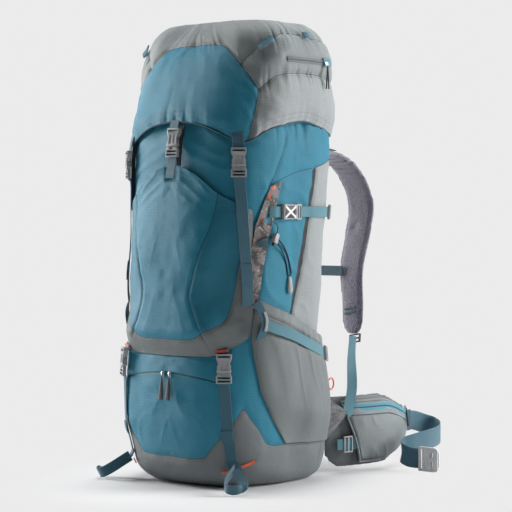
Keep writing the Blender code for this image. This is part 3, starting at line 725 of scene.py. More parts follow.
def webbing(name, colour):
    """Woven strap: fine ribs along it, a crossing weave, and darker flecks where ribs and weave peak together.
    """
    g = Graph(name, 0.62)
    ribs = g.wave("X", 700)
    weave = g.wave("Y", 480)
    height = g.math("ADD", ribs, g.math("MULTIPLY", weave, 0.8))
    worn = g.noise(30.0, 4.0)
    shown = g.mix(g.math("MULTIPLY", worn, 0.35), colour, shade(colour, 1.5))
    shown = g.mix(g.math("MULTIPLY", g.math("MULTIPLY", ribs, weave), 0.35), shown, shade(colour, 0.55))
    g.bump(height, 0.00025)
    return g.finish(shown, 0.3)


def plastic(name, colour, roughness=0.38, wear=1.25):
    """Moulded plastic with a fine spark-eroded grain and slightly paler worn high spots."""
    g = Graph(name, roughness)
    grain = g.noise(900.0, 2.0)
    patches = g.noise(120.0, 3.0)
    shown = g.mix(g.math("MULTIPLY", patches, 0.5), colour, shade(colour, wear))
    g.link(g.math("MULTIPLY_ADD", patches, 0.2, roughness - 0.1), g.shader.inputs["Roughness"])
    g.bump(grain, 0.00012)
    return g.finish(shown)


def metal(name, colour, roughness=0.3):
    g = Graph(name, roughness, 0.9)
    marks = g.noise(300.0, 4.0)
    g.link(g.math("MULTIPLY_ADD", marks, 0.25, roughness - 0.1), g.shader.inputs["Roughness"])
    g.bump(marks, 0.00008)
    return g.finish(g.mix(marks, colour, shade(colour, 0.8)))


def spacer_mesh(name, colour):
    """Open knitted mesh over foam: a grid of small dark holes."""
    g = Graph(name, 0.85)
    holes = g.cells(330.0)
    open_hole = g.math("LESS_THAN", holes, 0.30)
    shown = g.mix(g.math("MULTIPLY", g.noise(14.0), 0.3), colour, shade(colour, 0.7))
    shown = g.mix(g.math("MULTIPLY", open_hole, 0.75), shown, shade(colour, 0.28))
    g.bump(holes, 0.0009)
    return g.finish(shown, 0.35)


def patterned(name, colour=STRIP_GREY, dark=0.42, pale_factor=1.7, dashes=True):
    """Grey cloth printed with pale and dark flecks and a few orange dashes."""
    g = Graph(name, 0.75)
    fleck = g.noise(62.0, 3.0, (1, 1, 0.5), "cloth")
    shown = g.mix(g.step(g.math("SUBTRACT", fleck, 0.53), 0.02), colour, shade(colour, dark))
    pale = g.noise(95.0, 2.0, (1, 1, 0.6), "cloth")
    shown = g.mix(g.step(g.math("SUBTRACT", pale, 0.60), 0.02), shown, shade(colour, pale_factor))
    if dashes:
        spark = g.noise(48.0, 1.0, (1, 0.6, 1), "cloth")
        shown = g.mix(g.step(g.math("SUBTRACT", spark, 0.68), 0.01), shown, ORANGE)
    g.bump(g.math("ADD", g.wave("X", 500), g.wave("Y", 500)), 0.0002)
    return g.finish(shown, 0.2)


# ---------------------------------------------------------------- camera, light and floor


def make_camera():
    data = bpy.data.cameras.new("camera")
    data.lens = LENS_MM
    data.sensor_width = SENSOR_MM
    data.clip_end = 60
    camera = bpy.data.objects.new("camera", data)
    camera.location = CAMERA_AT
    camera.rotation_euler = (CAMERA_TILT, 0, CAMERA_TURN)
    bpy.context.scene.collection.objects.link(camera)
    bpy.context.scene.camera = camera


def make_light(name, place, target, size, power, tint=(1, 1, 1)):
    data = bpy.data.lights.new(name, "AREA")
    data.shape = "RECTANGLE"
    data.size, data.size_y = size
    data.energy = power
    data.color = tint
    light = bpy.data.objects.new(name, data)
    light.location = place
    light.rotation_euler = (Vector(target) - Vector(place)).to_track_quat("-Z", "Y").to_euler()
    bpy.context.scene.collection.objects.link(light)


def make_studio():
    """A pale floor that fades into a pale surround, soft boxes at both sides and one overhead."""
    backdrop = 0.832
    world = bpy.data.worlds.new("surround")
    bpy.context.scene.world = world
    world.use_nodes = True
    tree = world.node_tree
    seen = tree.nodes["Background"]
    seen.inputs["Color"].default_value = (backdrop, backdrop, backdrop * 1.005, 1)
    lit = tree.nodes.new("ShaderNodeBackground")
    lit.inputs["Color"].default_value = (0.050, 0.052, 0.055, 1)
    path = tree.nodes.new("ShaderNodeLightPath")
    mix = tree.nodes.new("ShaderNodeMixShader")
    tree.links.new(path.outputs["Is Camera Ray"], mix.inputs["Fac"])
    tree.links.new(lit.outputs[0], mix.inputs[1])
    tree.links.new(seen.outputs[0], mix.inputs[2])
    tree.links.new(mix.outputs[0], tree.nodes["World Output"].inputs["Surface"])

    floor_mesh = prism(
        [(math.cos(a) * 14, math.sin(a) * 14) for a in np.linspace(0, 2 * math.pi, 96, False)], -0.02,
        -0.0006,
    )
    g = Graph("floor", 0.6)
    distance = g.tree.nodes.new("ShaderNodeVectorMath")
    distance.operation = "LENGTH"
    g.link(g.place((1, 0.75, 1)), distance.inputs[0])
    fade = g.tree.nodes.new("ShaderNodeMapRange")
    fade.interpolation_type = "SMOOTHERSTEP"
    g.link(distance.outputs["Value"], fade.inputs["Value"])
    fade.inputs["From Min"].default_value = 0.14
    fade.inputs["From Max"].default_value = 0.35
    glow = g.tree.nodes.new("ShaderNodeEmission")
    glow.inputs["Color"].default_value = (backdrop, backdrop, backdrop * 1.005, 1)
    blend = g.tree.nodes.new("ShaderNodeMixShader")
    direct = g.tree.nodes.new("ShaderNodeLightPath").outputs["Is Camera Ray"]
    g.link(g.math("MULTIPLY", fade.outputs["Result"], direct), blend.inputs["Fac"])
    g.tree.links.new(g.shader.outputs[0], blend.inputs[1])
    g.tree.links.new(glow.outputs[0], blend.inputs[2])
    g.tree.links.new(blend.outputs[0], g.tree.nodes["Material Output"].inputs["Surface"])
    floor = as_object("floor", floor_mesh, [g.finish((0.77, 0.77, 0.775))])

    middle = (0, 0, 0.42)
    make_light("soft_left", (-2.95, -0.68, 1.2), middle, (1.0, 2.2), 142)
    make_light("soft_right", (2.2, 1.9, 1.3), middle, (1.2, 2.2), 116)
    make_light("soft_top", (-0.3, 0.3, 3.0), middle, (1.6, 1.6), 64)
    make_light("soft_back", (-0.9, 2.8, 1.6), middle, (2.0, 1.8), 22)
    bpy.context.scene.view_settings.view_transform = "Standard"
    bpy.context.scene.view_settings.look = "None"


# ---------------------------------------------------------------- cords

CORD_RADIUS = 0.0011
CORD_ROUTE = (
    (0.1615, -0.0580, 0.4400),
    (0.1615, -0.0480, 0.4340),
    (0.1612, -0.0370, 0.4240),
    (0.1610, -0.0280, 0.4110),
    (0.1608, -0.0220, 0.3970),
    (0.1606, -0.0180, 0.3850),
    (0.1606, -0.0165, 0.3790),
    (0.1606, -0.0185, 0.3745),
    (0.1606, -0.0225, 0.3730),
    (0.1606, -0.0262, 0.3755),
    (0.1606, -0.0270, 0.3810),
    (0.1608, -0.0300, 0.3930),
    (0.1610, -0.0350, 0.4050),
    (0.1612, -0.0430, 0.4170),
    (0.1615, -0.0520, 0.4270),
    (0.1615, -0.0605, 0.4325),
)
HOLD_ROUTE = (
    (0.1572, -0.0720, 0.4700),
    (0.1600, -0.0660, 0.4695),
    (0.1625, -0.0585, 0.4640),
    (0.1632, -0.0575, 0.4560),
    (0.1628, -0.0600, 0.4480),
    (0.1625, -0.0612, 0.4440),
)
LOCK_AT = Vector((0.1625, -0.064, 0.440))
LOCK_ALONG = Vector((0, 0.42, 0.90)).normalized()


def flipped(points, side):
    """Right-hand points, mirrored in X = 0 for the left side."""
    return [(side * x, y, z) for x, y, z in points]


def make_cords(black, plastic_grey, dark):
    """The elastic cord on each side with its pull, and the cord lock with its button."""
    pull_rings = []
    for share, half, deep in (
        (0, 0.0030, 0.0020), (0.06, 0.0044, 0.0028), (0.45, 0.0058, 0.0036), (0.8, 0.0064, 0.0040),
        (0.94, 0.0056, 0.0036), (1, 0.0038, 0.0022),
    ):
        z = 0.3710 - 0.0285 * share
        centre = Vector((0.1612, -0.0218 + 0.0018 * share, z))
        turns = np.linspace(0, 2 * math.pi, 16, False)
        pull_rings.append([centre + Vector((deep * math.cos(a), half * math.sin(a), 0)) for a in turns])
    for side_name, side in SIDES:
        cord = tube(f"elastic_cord_{side_name}", flipped(CORD_ROUTE, side), CORD_RADIUS, black)
        rings = [[(side * p.x, p.y, p.z) for p in ring] for ring in pull_rings]
        pull = stack(f"cord_pull_moulding_{side_name}", rings, plastic_grey)
        attach(pull, "bag", "buckle_plastic", f"cord_pull_{side_name}")
        attach(cord, "bag", "cord", f"side_cord_{side_name}")
        barrel = moulded(
            prism(
                [
                    (-0.0048, -0.009), (0.0048, -0.009), (0.0050, 0.0055), (0.0030, 0.0092),
                    (-0.0030, 0.0092), (-0.0050, 0.0055),
                ],
                -0.0042, 0.0042,
            ),
            [box_mesh(-0.0034, 0.0034, -0.011, 0.005, -0.0029, 0.0029)],
            0.0009,
        )
        matrix = basis(LOCK_AT, LOCK_ALONG, (1, 0, 0))
        mould_on(
            f"cord_lock_barrel_{side_name}", barrel, matrix, plastic_grey, side, "bag",
            f"cord_lock_{side_name}",
        )
        button = moulded(
            prism(
                [(-0.0028, -0.0135), (0.0028, -0.0135), (0.0028, -0.001), (-0.0028, -0.001)], -0.0023,
                0.0023,
            ),
            [
                box_mesh(-0.004, 0.004, -0.0126 + 0.0016 * k, -0.0120 + 0.0016 * k, 0.0019, 0.004)
                for k in range(2)
            ],
            0.0004,
        )
        attach(
            put(f"cord_lock_press_{side_name}", button, matrix, dark, side), f"lock_button_{side_name}",
            "cord", f"cord_lock_button_{side_name}",
        )


# ---------------------------------------------------------------- bag shell


def shell_rows():
    """Heights of the bag's rows: close together where the base is rounded."""
    turns = np.linspace(0.0, math.pi / 2, 9)[:-1]
    rounded = BASE_ROUND * (1 - np.cos(turns))
    return np.concatenate([rounded, np.arange(BASE_ROUND, 0.660, 0.0042), [0.6600]])


def shell_relief(turn, z, lines, s):
    """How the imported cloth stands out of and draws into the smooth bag, in metres."""
    relief = 0.0012 * noise(s, z, 0.055, 0.045, 3) + 0.0006 * noise(s, z, 0.020, 0.016, 5)
    for name in ("m_base", "m_arch", "m_top", "m_foot"):
        relief += groove(lines[name], 0.0016, 0.0045)
        relief += puckers(lines[name], s, 11, 0.014, 0.012, 0.0007)
    relief += groove(lines["m_strip_f"], 0.0014, 0.004) * (z > 0.30)
    relief += groove(lines["m_strip_b"], 0.0014, 0.004) * (z > 0.30)
    lower = between(z, 0.06, 0.03, 0.20, 0.02) * ease((-48 - turn) / 10)
    relief += lower * (0.0010 * folds(s + 0.3 * z, z, 0.030, 0.050, 21) - 0.0004)
    front_fall = ease((-40 - turn) / 10) * ease((z - 0.50) / 0.04)
    relief += front_fall * 0.0020 * (folds(s, z + 0.4 * s, 0.050, 0.028, 31) - 0.4)
    side_top = between(turn, -22, 10, 42, 8) * ease((z - 0.55) / 0.02)
    relief += side_top * 0.0016 * noise(s, z, 0.010, 0.060, 41) * ease((z - 0.60) / 0.04)
    relief += side_top * 0.0012 * folds(s, z, 0.06, 0.020, 42)
    under_lid = ease((turn + 26) / 8) * ease((z - 0.55) / 0.03)
    relief -= under_lid * 0.0042 * gathers(0.640 - z, s, 43, 0.020, 0.0130)
    side = between(turn, -30, 6, 20, 8) * between(z, 0.28, 0.03, 0.56, 0.03)
    relief += side * 0.0030 * np.cos((turn + 6) / 24 * math.pi / 2)
    relief += side * 0.0016 * (folds(s + 0.5 * z, z, 0.040, 0.050, 51) - 0.4)
    relief += np.where(lines["m_arch"] < 0, groove(lines["m_zip"], 0.0030, 0.0050), 0)
    return relief


def make_shell():
    """The bag's outside from floor to rim, its lining, and every sewn zone on it."""
    count = 340
    theta = np.linspace(0, 2 * math.pi, count, False)[None, :]
    z = shell_rows()[:, None]
    theta, z = np.broadcast_arrays(theta, z)
    turn = turn_of(theta)
    s = arc(turn)
    lines = {
        "m_base": -(z - height_on(BASE_LINE, turn)),
        "m_foot": z - height_on(POCKET_FOOT[:5] + ((90, 0.30),), np.minimum(turn, -35)),
        "m_strip_f": -signed(STRIP_FRONT, turn, z),
        "m_strip_b": signed(STRIP_BACK, turn, z),
        "m_zip": -signed(ZIP_LINE, turn, z),
        "m_top": signed(TOP_SEAM, turn, z),
        "m_arch": z - height_on(ARCH_SEAM, turn),
        "m_bottom_zip": np.where(turn < -48, signed(BOTTOM_ZIP, turn, z), NO_LINE),
    }
    lines["m_foot"] = np.where(turn > -36, NO_LINE, lines["m_foot"])
    lines["m_arch"] = np.where(turn < -22, -NO_LINE, lines["m_arch"])
    outer = surface(theta, z, shell_relief(turn, z, lines, s) * ease(z / 0.02))
    rows_in = np.array([0.657, 0.55, 0.42, 0.30, 0.18, 0.09, 0.045])
    theta_in, z_in = np.broadcast_arrays(theta[:1], rows_in[:, None])
    inner = outline(theta_in, z_in, "bag", -0.0045)
    floor_in = outline(theta_in[:1], z_in[:1] * 0 + 0.012, "bag", 0.0)
    floor_in = floor_in * (0.86, 0.86, 1)
    rings = np.concatenate([outer, inner, floor_in])
    extra = len(rings) - len(outer)
    pale = np.minimum(lines["m_zip"] - 0.0022, -lines["m_arch"])
    # the black band along the side zip is partly the dark zip and partly painted shadow under its flap
    zip_and_shadow_half = 0.0048 + 0.0014 * noise(z, s, 0.018, 0.05, 141)
    black = np.minimum(zip_and_shadow_half - np.abs(lines["m_zip"] + 0.0022), -lines["m_arch"] - 0.002)
    fields = {
        "grey": lines["m_base"],
        "pale": np.minimum(pale, np.maximum(z - 0.20, (turn - 28) * METRES_PER_DEGREE)),
        "black": np.minimum(black, z - 0.20),
        "crown": np.maximum(np.where(turn > -20, lines["m_arch"], -NO_LINE), -NO_LINE),
        "back": (turn - 47) * METRES_PER_DEGREE,
        "m_foot": lines["m_foot"],
        "m_top": lines["m_top"],
        "m_bottom_zip": lines["m_bottom_zip"],
    }
    padded = {k: np.concatenate([v, np.repeat(v[-1:], extra, 0)]) for k, v in fields.items()}
    padded["back"][len(outer):] = NO_LINE
    cloth = np.stack([s, z, 0 * z], -1)
    padded["cloth"] = np.concatenate([cloth, np.repeat(cloth[-1:], extra, 0)])
    finish = fabric(
        "bag_cloth",
        TEAL,
        [("pale", GREY_PALE), ("black", BLACK), ("grey", GREY_BASE), ("back", srgb(72, 76, 82))],
        ["grey", "m_foot", "m_top", "crown", "pale"],
        ["grey", "m_top"],
        zips=["m_bottom_zip"],
    )
    panels = (
        "base_panel", "lower_front_panel", "front_panel", "side_panel_left", "side_panel_right",
        "back_panel",
    )
    attach(stack("bag_shell", rings, finish, fields=padded), "bag", "teal_fabric", *panels)


def make_strips():
    """The printed cloth strip down each front corner."""
    finish = patterned("printed_strip")
    for name, side in SIDES:
        rows = []
        for k in np.linspace(0, 1, 60):
            z = 0.330 + (0.531 - 0.330) * k
            front = np.interp(z, [h for _, h in STRIP_FRONT], [t for t, _ in STRIP_FRONT])
            back = np.interp(z, [h for _, h in STRIP_BACK], [t for t, _ in STRIP_BACK])
            across = np.linspace(front, back, 12)
            slant = np.linspace(0, 1, 12) * (0.010 * k - 0.014 * (1 - k))
            rows.append((across, z + slant))
        turns, z = np.array([r[0] for r in rows]).T, np.array([r[1] for r in rows]).T
        s = arc(turns)
        out = 0.0022 + 0.0016 * noise(s, z, 0.02, 0.03, 61) * np.sin(np.linspace(0, math.pi, 12))[:, None]
        if side < 0:
            turns, z, out, s = turns[::-1], z[::-1], out[::-1], s[::-1]
        grid = surface(theta_of(turns, side), z, out)
        piece = sheet_solid(
            f"printed_strip_{name}", grid, 0.0016, finish, {"cloth": np.stack([s, z, 0 * z], -1)}
        )
        attach(piece, "bag", "grey_fabric")


# ---------------------------------------------------------------- collar and lid


def make_collar(finish):
    """The gathered collar under the lid."""
    theta = np.linspace(0, 2 * math.pi, 160, False)[None, :]
    level = np.linspace(0, 1, 14)[:, None]
    theta, level = np.broadcast_arrays(theta, level)
    turn = turn_of(theta)
    gathers = 0.0035 * level * noise(arc(turn), level * 0, 0.012, 1.0, 71)
    ring = outline(theta, 0.660 + 0 * theta, "bag", -0.005 - 0.020 * level + gathers)
    ring[..., 2] = 0.6602 + 0.0548 * level
    inner = outline(theta, 0.660 + 0 * theta, "bag", -0.008 - 0.020 * level + gathers)
    inner[..., 2] = 0.6602 + 0.0548 * level
    cloth = np.stack([arc(turn), level * 0.055, 0 * turn], -1)
    rings = np.concatenate([ring, inner[::-1]])
    piece = stack(
        "collar_cloth", rings, finish, caps=False, fields={"cloth": np.concatenate([cloth, cloth[::-1]])}
    )
    attach(piece, "bag", "teal_fabric", "extension_collar")


def make_lid(piping, pale_web):
    """The hood: teal front, grey sides and top, sewn seams, gathered hem."""
    count = 420
    theta = np.linspace(0, 2 * math.pi, count, False)[None, :]
    level = np.concatenate([np.linspace(0, 0.86, 46), np.linspace(0.87, 1.0, 16)])[:, None]
    theta, level = np.broadcast_arrays(theta, level)
    turn = turn_of(theta)
    hem = height_on(LID_HEM, turn)
    z = hem + (LID_TOP - hem) * level
    s = arc(turn)
    panel = np.minimum(-signed(LID_PANEL, turn, z), (-27.5 - turn) * METRES_PER_DEGREE)
    top_seam = signed(LID_TOP_SEAM, turn, z)
    side_seam = signed(LID_SIDE_SEAM, turn, z)
    relief = 0.0010 * noise(s, z, 0.070, 0.055, 81) + 0.0006 * noise(s, z, 0.022, 0.018, 82)
    relief += groove(panel, 0.0022, 0.0045) + puckers(panel, s + z, 83, 0.020, 0.011, 0.0011)
    side_on = ease((turn + 30) / 2)
    relief += side_on * (groove(side_seam, 0.0026, 0.005) + puckers(side_seam, s, 84, 0.022, 0.009, 0.0017))
    top_on = ease((turn + 39) / 2)
    relief += top_on * (groove(top_seam, 0.0022, 0.0045) + puckers(top_seam, s, 85, 0.020, 0.010, 0.0014))
    relief -= side_on * 0.0036 * gathers(side_seam, s, 91, 0.012, 0.0105)
    relief -= top_on * 0.0034 * gathers(top_seam, s, 92, 0.012, 0.0105)
    relief -= 0.0016 * gathers(panel, s + 0.6 * z, 93, 0.010, 0.0110)
    from_seams = np.where(turn > -40, np.minimum(np.abs(side_seam), np.abs(top_seam)), 1)
    puff = np.minimum(np.abs(panel), from_seams) / 0.045
    relief += 0.0045 * ease(puff) * ease((z - hem) / 0.03)
    corner = between(turn, -62, 12, -30, 10) * ease((0.74 - z) / 0.06)
    relief += 0.0013 * corner * (folds(s + 0.9 * z, z - 0.5 * s, 0.045, 0.10, 86) - 0.35)
    low_side = between(turn, -34, 6, -6, 14) * between(z, hem, 0.01, 0.715, 0.02)
    relief += 0.0020 * low_side * (folds(s * 0.4 + z, s, 0.018, 0.09, 87) - 0.35)
    high = ease((z - 0.70) / 0.05) * ease((turn + 60) / 20)
    relief += 0.0016 * high * (folds(s, z + 0.6 * s, 0.055, 0.060, 88) - 0.4)
    to_hem = z - hem
    relief += 0.0012 * noise(s, 0 * s, 0.009, 1.0, 89) * np.exp(-to_hem / 0.018)
    relief -= 0.0018 * np.exp(-to_hem / 0.010)
    relief = relief * ease((LID_TOP + 0.0015 - z) / 0.008 + 0.35)
    zip_zone = np.exp(-(((z - 0.7565) / 0.011) ** 2)) * between(turn, -14, 5, 44, 8) * (np.cos(theta) > 0)
    relief = relief * (1 - zip_zone)
    outer = surface(theta, z, relief, "lid")
    middle = np.array([0, 0.012, LID_TOP])
    crown = []
    for k in np.linspace(0.9, 0.0, 12):
        ring = middle + (outer[-1] - middle) * max(k, 0.012)
        uneven = 0.0010 * noise(ring[:, 0] + 0.2, ring[:, 1] + 0.2, 0.045, 0.04, 90)
        ring[:, 2] = LID_TOP + 0.0036 * (1 - k**2) + uneven * (1 - k)
        crown.append(ring)
    crown = np.array(crown)
    n_in = 12
    level_in = np.linspace(1.0, 0.0, n_in)[:, None]
    theta_in, level_in = np.broadcast_arrays(theta[:1], level_in)
    hem_in = height_on(LID_HEM, turn_of(theta_in))
    height_in = hem_in + (LID_TOP - 0.0055 - hem_in) * level_in
    inner = surface(theta_in, height_in, -0.0075 + 0.0045 * ease((hem_in + 0.020 - height_in) / 0.020), "lid")
    inner_crown = middle + (crown[::-1] - middle) * (0.93, 0.93, 1) - (0, 0, 0.0055)
    rings = np.concatenate([crown[::-1], outer[::-1], inner[::-1], inner_crown[::-1]])
    above, below = len(crown), n_in + len(crown)

    def spread(values, elsewhere):
        """A field of the outer side's rows, with one value on the crown and inside."""
        return np.concatenate(
            [np.full((above, count), elsewhere), values[::-1], np.full((below, count), elsewhere)]
        )

    cloth = np.stack([s, z, 0 * z], -1)[::-1]
    top_cloth = np.stack([crown[::-1][..., 0], crown[::-1][..., 1] + 2.0, 0 * crown[::-1][..., 0]], -1)
    low_cloth = np.zeros((below, count, 3))
    fields = {
        "teal": spread(panel, -NO_LINE),
        "side": spread(np.minimum(-side_seam, np.where(turn > -30, NO_LINE, -NO_LINE)), -NO_LINE),
        "m_side": spread(np.where(turn > -29.5, side_seam, NO_LINE), NO_LINE),
        "m_top": spread(np.where(turn > -38.8, top_seam, NO_LINE), NO_LINE),
        "m_hem": spread(to_hem - 0.012, NO_LINE),
        "cloth": np.concatenate([top_cloth, cloth, low_cloth]),
    }
    zones = [("side", GREY_PALE), ("teal", TEAL)]
    finish = fabric("lid_cloth", GREY, zones, ["teal", "m_side", "m_top"], ["teal", "m_side", "m_hem"])
    lid = stack("lid_hood", rings, finish, fields=fields)
    attach(lid, "lid", "grey_fabric", "lid_shell")

    around = np.linspace(0, 2 * math.pi, 200)
    turns = turn_of(around)
    rim = surface(around, height_on(LID_HEM, turns) - 0.0004, -0.0022, "lid")
    edge = tube("lid_piping", [tuple(p) for p in rim], 0.0017, piping, 2)
    attach(edge, "lid", "webbing")
    for name, side in SIDES:
        # loops for tying things on, along the upper seam
        for k, (t0, t1) in enumerate(((-26.0, -16.5), (10.0, 17.0))):
            line = []
            for j in range(9):
                f = j / 8
                t = t0 + (t1 - t0) * f
                z = float(height_on(LID_TOP_SEAM, t)) - 0.003
                line.append(at(t, z, 0.0040 + 0.0034 * math.sin(math.pi * f) ** 0.7, side, "lid"))
            width_way = Vector(UP) - facing(t0, 0.78, side, "lid") * 0.6
            ribbon(f"lid_tab_{name}_{k}", "lid", line, width_way, 0.013, 0.0013, pale_web, step=0.002)


# ---------------------------------------------------------------- pockets


def make_front_pocket():
    """The stuff pocket: a padded middle panel, gussets, and a grey border around its lower edge."""
    u = np.linspace(-1, 1, 181)[:, None]
    v = np.linspace(0, 1, 92)[None, :]
    u, v = np.broadcast_arrays(u, v)
    reach = np.abs(u)
    turn = -90 + 57.5 * reach
    low = height_on(POCKET_FOOT[:6], turn)
    high = height_on(POCKET_RIM, turn)
    z = low + (high - low) * v
    s = arc(turn)
    gusset = signed(POCKET_GUSSET, turn, z)
    border = -signed(POCKET_BORDER, turn, z)
    outward = ease(1 - np.clip(-gusset, 0, 1) / 0.062)
    foot = z - low
    bulge = 0.0022 + 0.0205 * outward * ease(foot / 0.045) ** 0.8 * (1 - 0.84 * ease((v - 0.50) / 0.50))
    bulge *= ease((1 - reach) / 0.10 + 0.12)
    bulge += 0.0016 * ease(foot / 0.012)
    relief = 0.0014 * noise(s, z, 0.050, 0.045, 101) + 0.0006 * noise(s, z, 0.018, 0.018, 102)
    relief += groove(gusset, 0.0016, 0.0035) + puckers(gusset, z, 103, 0.018, 0.014, 0.0010)
    relief += groove(border, 0.0018, 0.0040) + puckers(border, s, 104, 0.018, 0.011, 0.0007)
    left_of = ease(gusset / 0.03)
    relief += 0.0006 * left_of * (folds(s + 0.4 * z, z, 0.045, 0.110, 105) - 0.45) * ease((0.50 - z) / 0.1)
    relief += 0.0018 * ease((z - 0.47) / 0.06) * (folds(s, z + 0.7 * s, 0.060, 0.022, 106) - 0.4) * left_of
    relief += 0.0006 * (1 - left_of) * (folds(s - z, z, 0.050, 0.045, 107) - 0.4)
    relief *= ease((1 - reach) / 0.08 + 0.1)
    # the buckle's strap holds the middle of the pocket's edge down
    held = 1 - 0.85 * np.exp(-((s / 0.017) ** 4)) * ease((z - 0.536) / 0.012)
    out = (bulge + relief) * held
    right, left = surface(theta_of(turn, 1), z, out), surface(theta_of(turn, -1), z, out)
    grid = np.where((u >= 0)[..., None], right, left)
    fields = {
        "border": border,
        "gusset": np.minimum(-gusset, -border),
        "m_gusset": gusset,
        "m_hem": (high - z) - 0.014,
        "cloth": np.stack([s, z, 0 * z], -1),
    }
    # the gussets' darker teal is painted shade: they are the same cloth as the middle panel, darkened where
    # they turn away from the light
    zones = [("gusset", shade(TEAL, 0.80)), ("border", shade(GREY, 0.66))]
    finish = fabric("pocket_cloth", TEAL, zones, ["border", "m_gusset"], ["border", "m_hem"])
    pocket = sheet_solid("front_pocket_cloth", grid, 0.0030, finish, fields)
    attach(pocket, "bag", "teal_fabric", "front_pocket")


def make_side_pockets():
    """The stretch pockets: full at their middle, pleated, with an elastic band along the rim."""
    zones = [("band", shade(GREY, 0.84))]
    finish = fabric(
        "side_pocket_cloth", shade(
            GREY, 0.70
        ), zones, ["band"], ["band"], ripstop=False, sheen=0.10, coarse=True
    )
    for name, side in SIDES:
        u = np.linspace(0, 1, 84)[:, None]
        v = np.linspace(0, 1, 80)[None, :]
        u, v = np.broadcast_arrays(u, v)
        z_mid = 0.074 + (0.330 - 0.074) * v
        edge_z = np.array([h for _, h in SIDE_POCKET_EDGE])
        edge_t = np.array([t for t, _ in SIDE_POCKET_EDGE])
        front = np.interp(z_mid, edge_z, edge_t)
        front = np.where(z_mid < 0.0765, -7.0, front)
        turn = front + (41.0 - front) * u
        high = height_on(SIDE_POCKET_RIM, turn)
        low = height_on(BASE_LINE[8:], turn) + 0.001
        z = low + (high - low) * v
        s = arc(turn)
        full = np.maximum(np.sin(np.pi * u), 0) ** 0.7
        out = 0.0030 + 0.0150 * full * ease(v / 0.30) * (1 - 0.30 * ease((v - 0.75) / 0.25))
        out -= 0.0045 * np.exp(-(((z - height_on(SIDE_POCKET_PINCH, turn)) / 0.012) ** 2)) * full
        fall = ease((high - z) / 0.03) * ease((z - low) / 0.02)
        pleats = folds(s + 0.25 * (z - 0.2), z * 0.25, 0.017, 0.05, 111)
        out += 0.0026 * (pleats - 0.4) * fall * full * ease((z - 0.12) / 0.10)
        out += 0.0014 * noise(s, z, 0.030, 0.050, 112) * full
        out += 0.0010 * noise(s, z * 0, 0.008, 1.0, 113) * np.exp(-(high - z) / 0.02)
        out -= 0.0016 * np.exp(-((((high - z) - 0.021) / 0.003) ** 2))
        out *= ease(np.minimum(u, 1 - u) / 0.02 + 0.45)
        if side < 0:
            turn, z, out, s, high = (a[::-1] for a in (turn, z, out, s, high))
        grid = surface(theta_of(turn, side), z, out)
        fields = {"band": 0.021 - (high - z), "cloth": np.stack([s, z, 0 * z], -1)}
        pocket = sheet_solid(f"side_pocket_cloth_{name}", grid, 0.0028, finish, fields)
        attach(pocket, "bag", "grey_fabric", f"side_pocket_{name}")


# ---------------------------------------------------------------- buckles


def socket_mould(cross=False):
    """The socket half: waisted, open at its mouth and sides, with a webbing bar behind."""
    half = [
        (0.0118, 0.0), (0.0126, 0.0035), (0.0106, 0.0085), (0.0100, 0.0165), (0.0124, 0.0220),
        (0.0135, 0.0262), (0.0135, 0.0330),
    ]
    if cross:
        half = [(0.0122, 0.0), (0.0130, 0.0030), (0.0130, 0.0240), (0.0135, 0.0262), (0.0135, 0.0330)]
    shape = half + [(-x, y) for x, y in reversed(half)]
    cutters = [
        box_mesh(-0.0099, 0.0099, -0.001, 0.0185, 0.0022, 0.0068),
        box_mesh(-0.0112, 0.0112, 0.0266, 0.0300, -0.001, 0.011),
        box_mesh(0.0086, 0.0150, 0.0062, 0.0170, 0.0024, 0.0066),
        box_mesh(-0.0150, -0.0086, 0.0062, 0.0170, 0.0024, 0.0066),
    ]
    if cross:
        for sign in (1, -1):
            cutters.append(
                prism(
                    [(sign * 0.0108, 0.004), (sign * 0.0108, 0.0205), (sign * 0.0022, 0.0122)][:: sign],
                    0.0062, 0.011,
                )
            )
        cutters.append(prism([(-0.0080, 0.0235), (0.0, 0.0150), (0.0080, 0.0235)][::-1], 0.0062, 0.011))
        cutters.append(prism([(-0.0080, 0.0012), (0.0080, 0.0012), (0.0, 0.0095)], 0.0062, 0.011))
    else:
        for sign in (1, -1):
            x0, x1 = sorted((sign * 0.0016, sign * 0.0066))
            cutters.append(box_mesh(x0, x1, 0.0050, 0.0205, 0.0078, 0.011))
    return moulded(prism(shape, 0.0, 0.0090), cutters, 0.0007)


def fork_mould():
    """The fork half: a ladder for the webbing, a centre guide and two springy prongs."""
    half = [(0.0118, -0.0006), (0.0122, -0.0035), (0.0137, -0.0062), (0.0137, -0.0182)]
    shape = [(-x, y) for x, y in half] + list(reversed(half))
    cutters = [
        box_mesh(-0.0110, 0.0110, -0.0160, -0.0126, 0.0, 0.011),
        box_mesh(-0.0110, 0.0110, -0.0104, -0.0068, 0.0, 0.011),
        box_mesh(-0.0045, 0.0045, -0.0050, 0.0010, 0.0066, 0.011),
    ]
    prongs = [box_mesh(-0.0013, 0.0013, -0.003, 0.0140, 0.0032, 0.0058)]
    for sign in (1, -1):
        outline_xy = [
            (0.0066, -0.002), (0.0098, -0.002), (0.0106, 0.0040), (0.0120, 0.0080), (0.0122, 0.0120),
            (0.0100, 0.0158), (0.0080, 0.0150), (0.0088, 0.0105), (0.0078, 0.0050),
        ]
        corners = [(sign * x, y) for x, y in outline_xy]
        prongs.append(prism(corners if sign > 0 else corners[::-1], 0.0030, 0.0060))
    return moulded(prism(shape, 0.0014, 0.0078), cutters, 0.0006, prongs)


BUCKLES = (
    ("lid", (0.1283, -0.1233, 0.5653), (-0.02, 0.0238, 0.9995), (0.6437, -0.7647, 0.0311), True),
    ("base", (0.1121, -0.1440, 0.2063), (-0.0439, 0.0606, 0.9972), (0.5846, -0.8079, 0.0748), True),
    ("side", (0.1597, -0.0128, 0.4870), (-0.0014, -1.0, 0.0), (0.9997, -0.0014, -0.0233), True),
    ("pocket", (0.0, -0.1465, 0.6014), (0.0, 0.1488, 0.9889), (0.0, -0.9889, 0.1488), False),
)


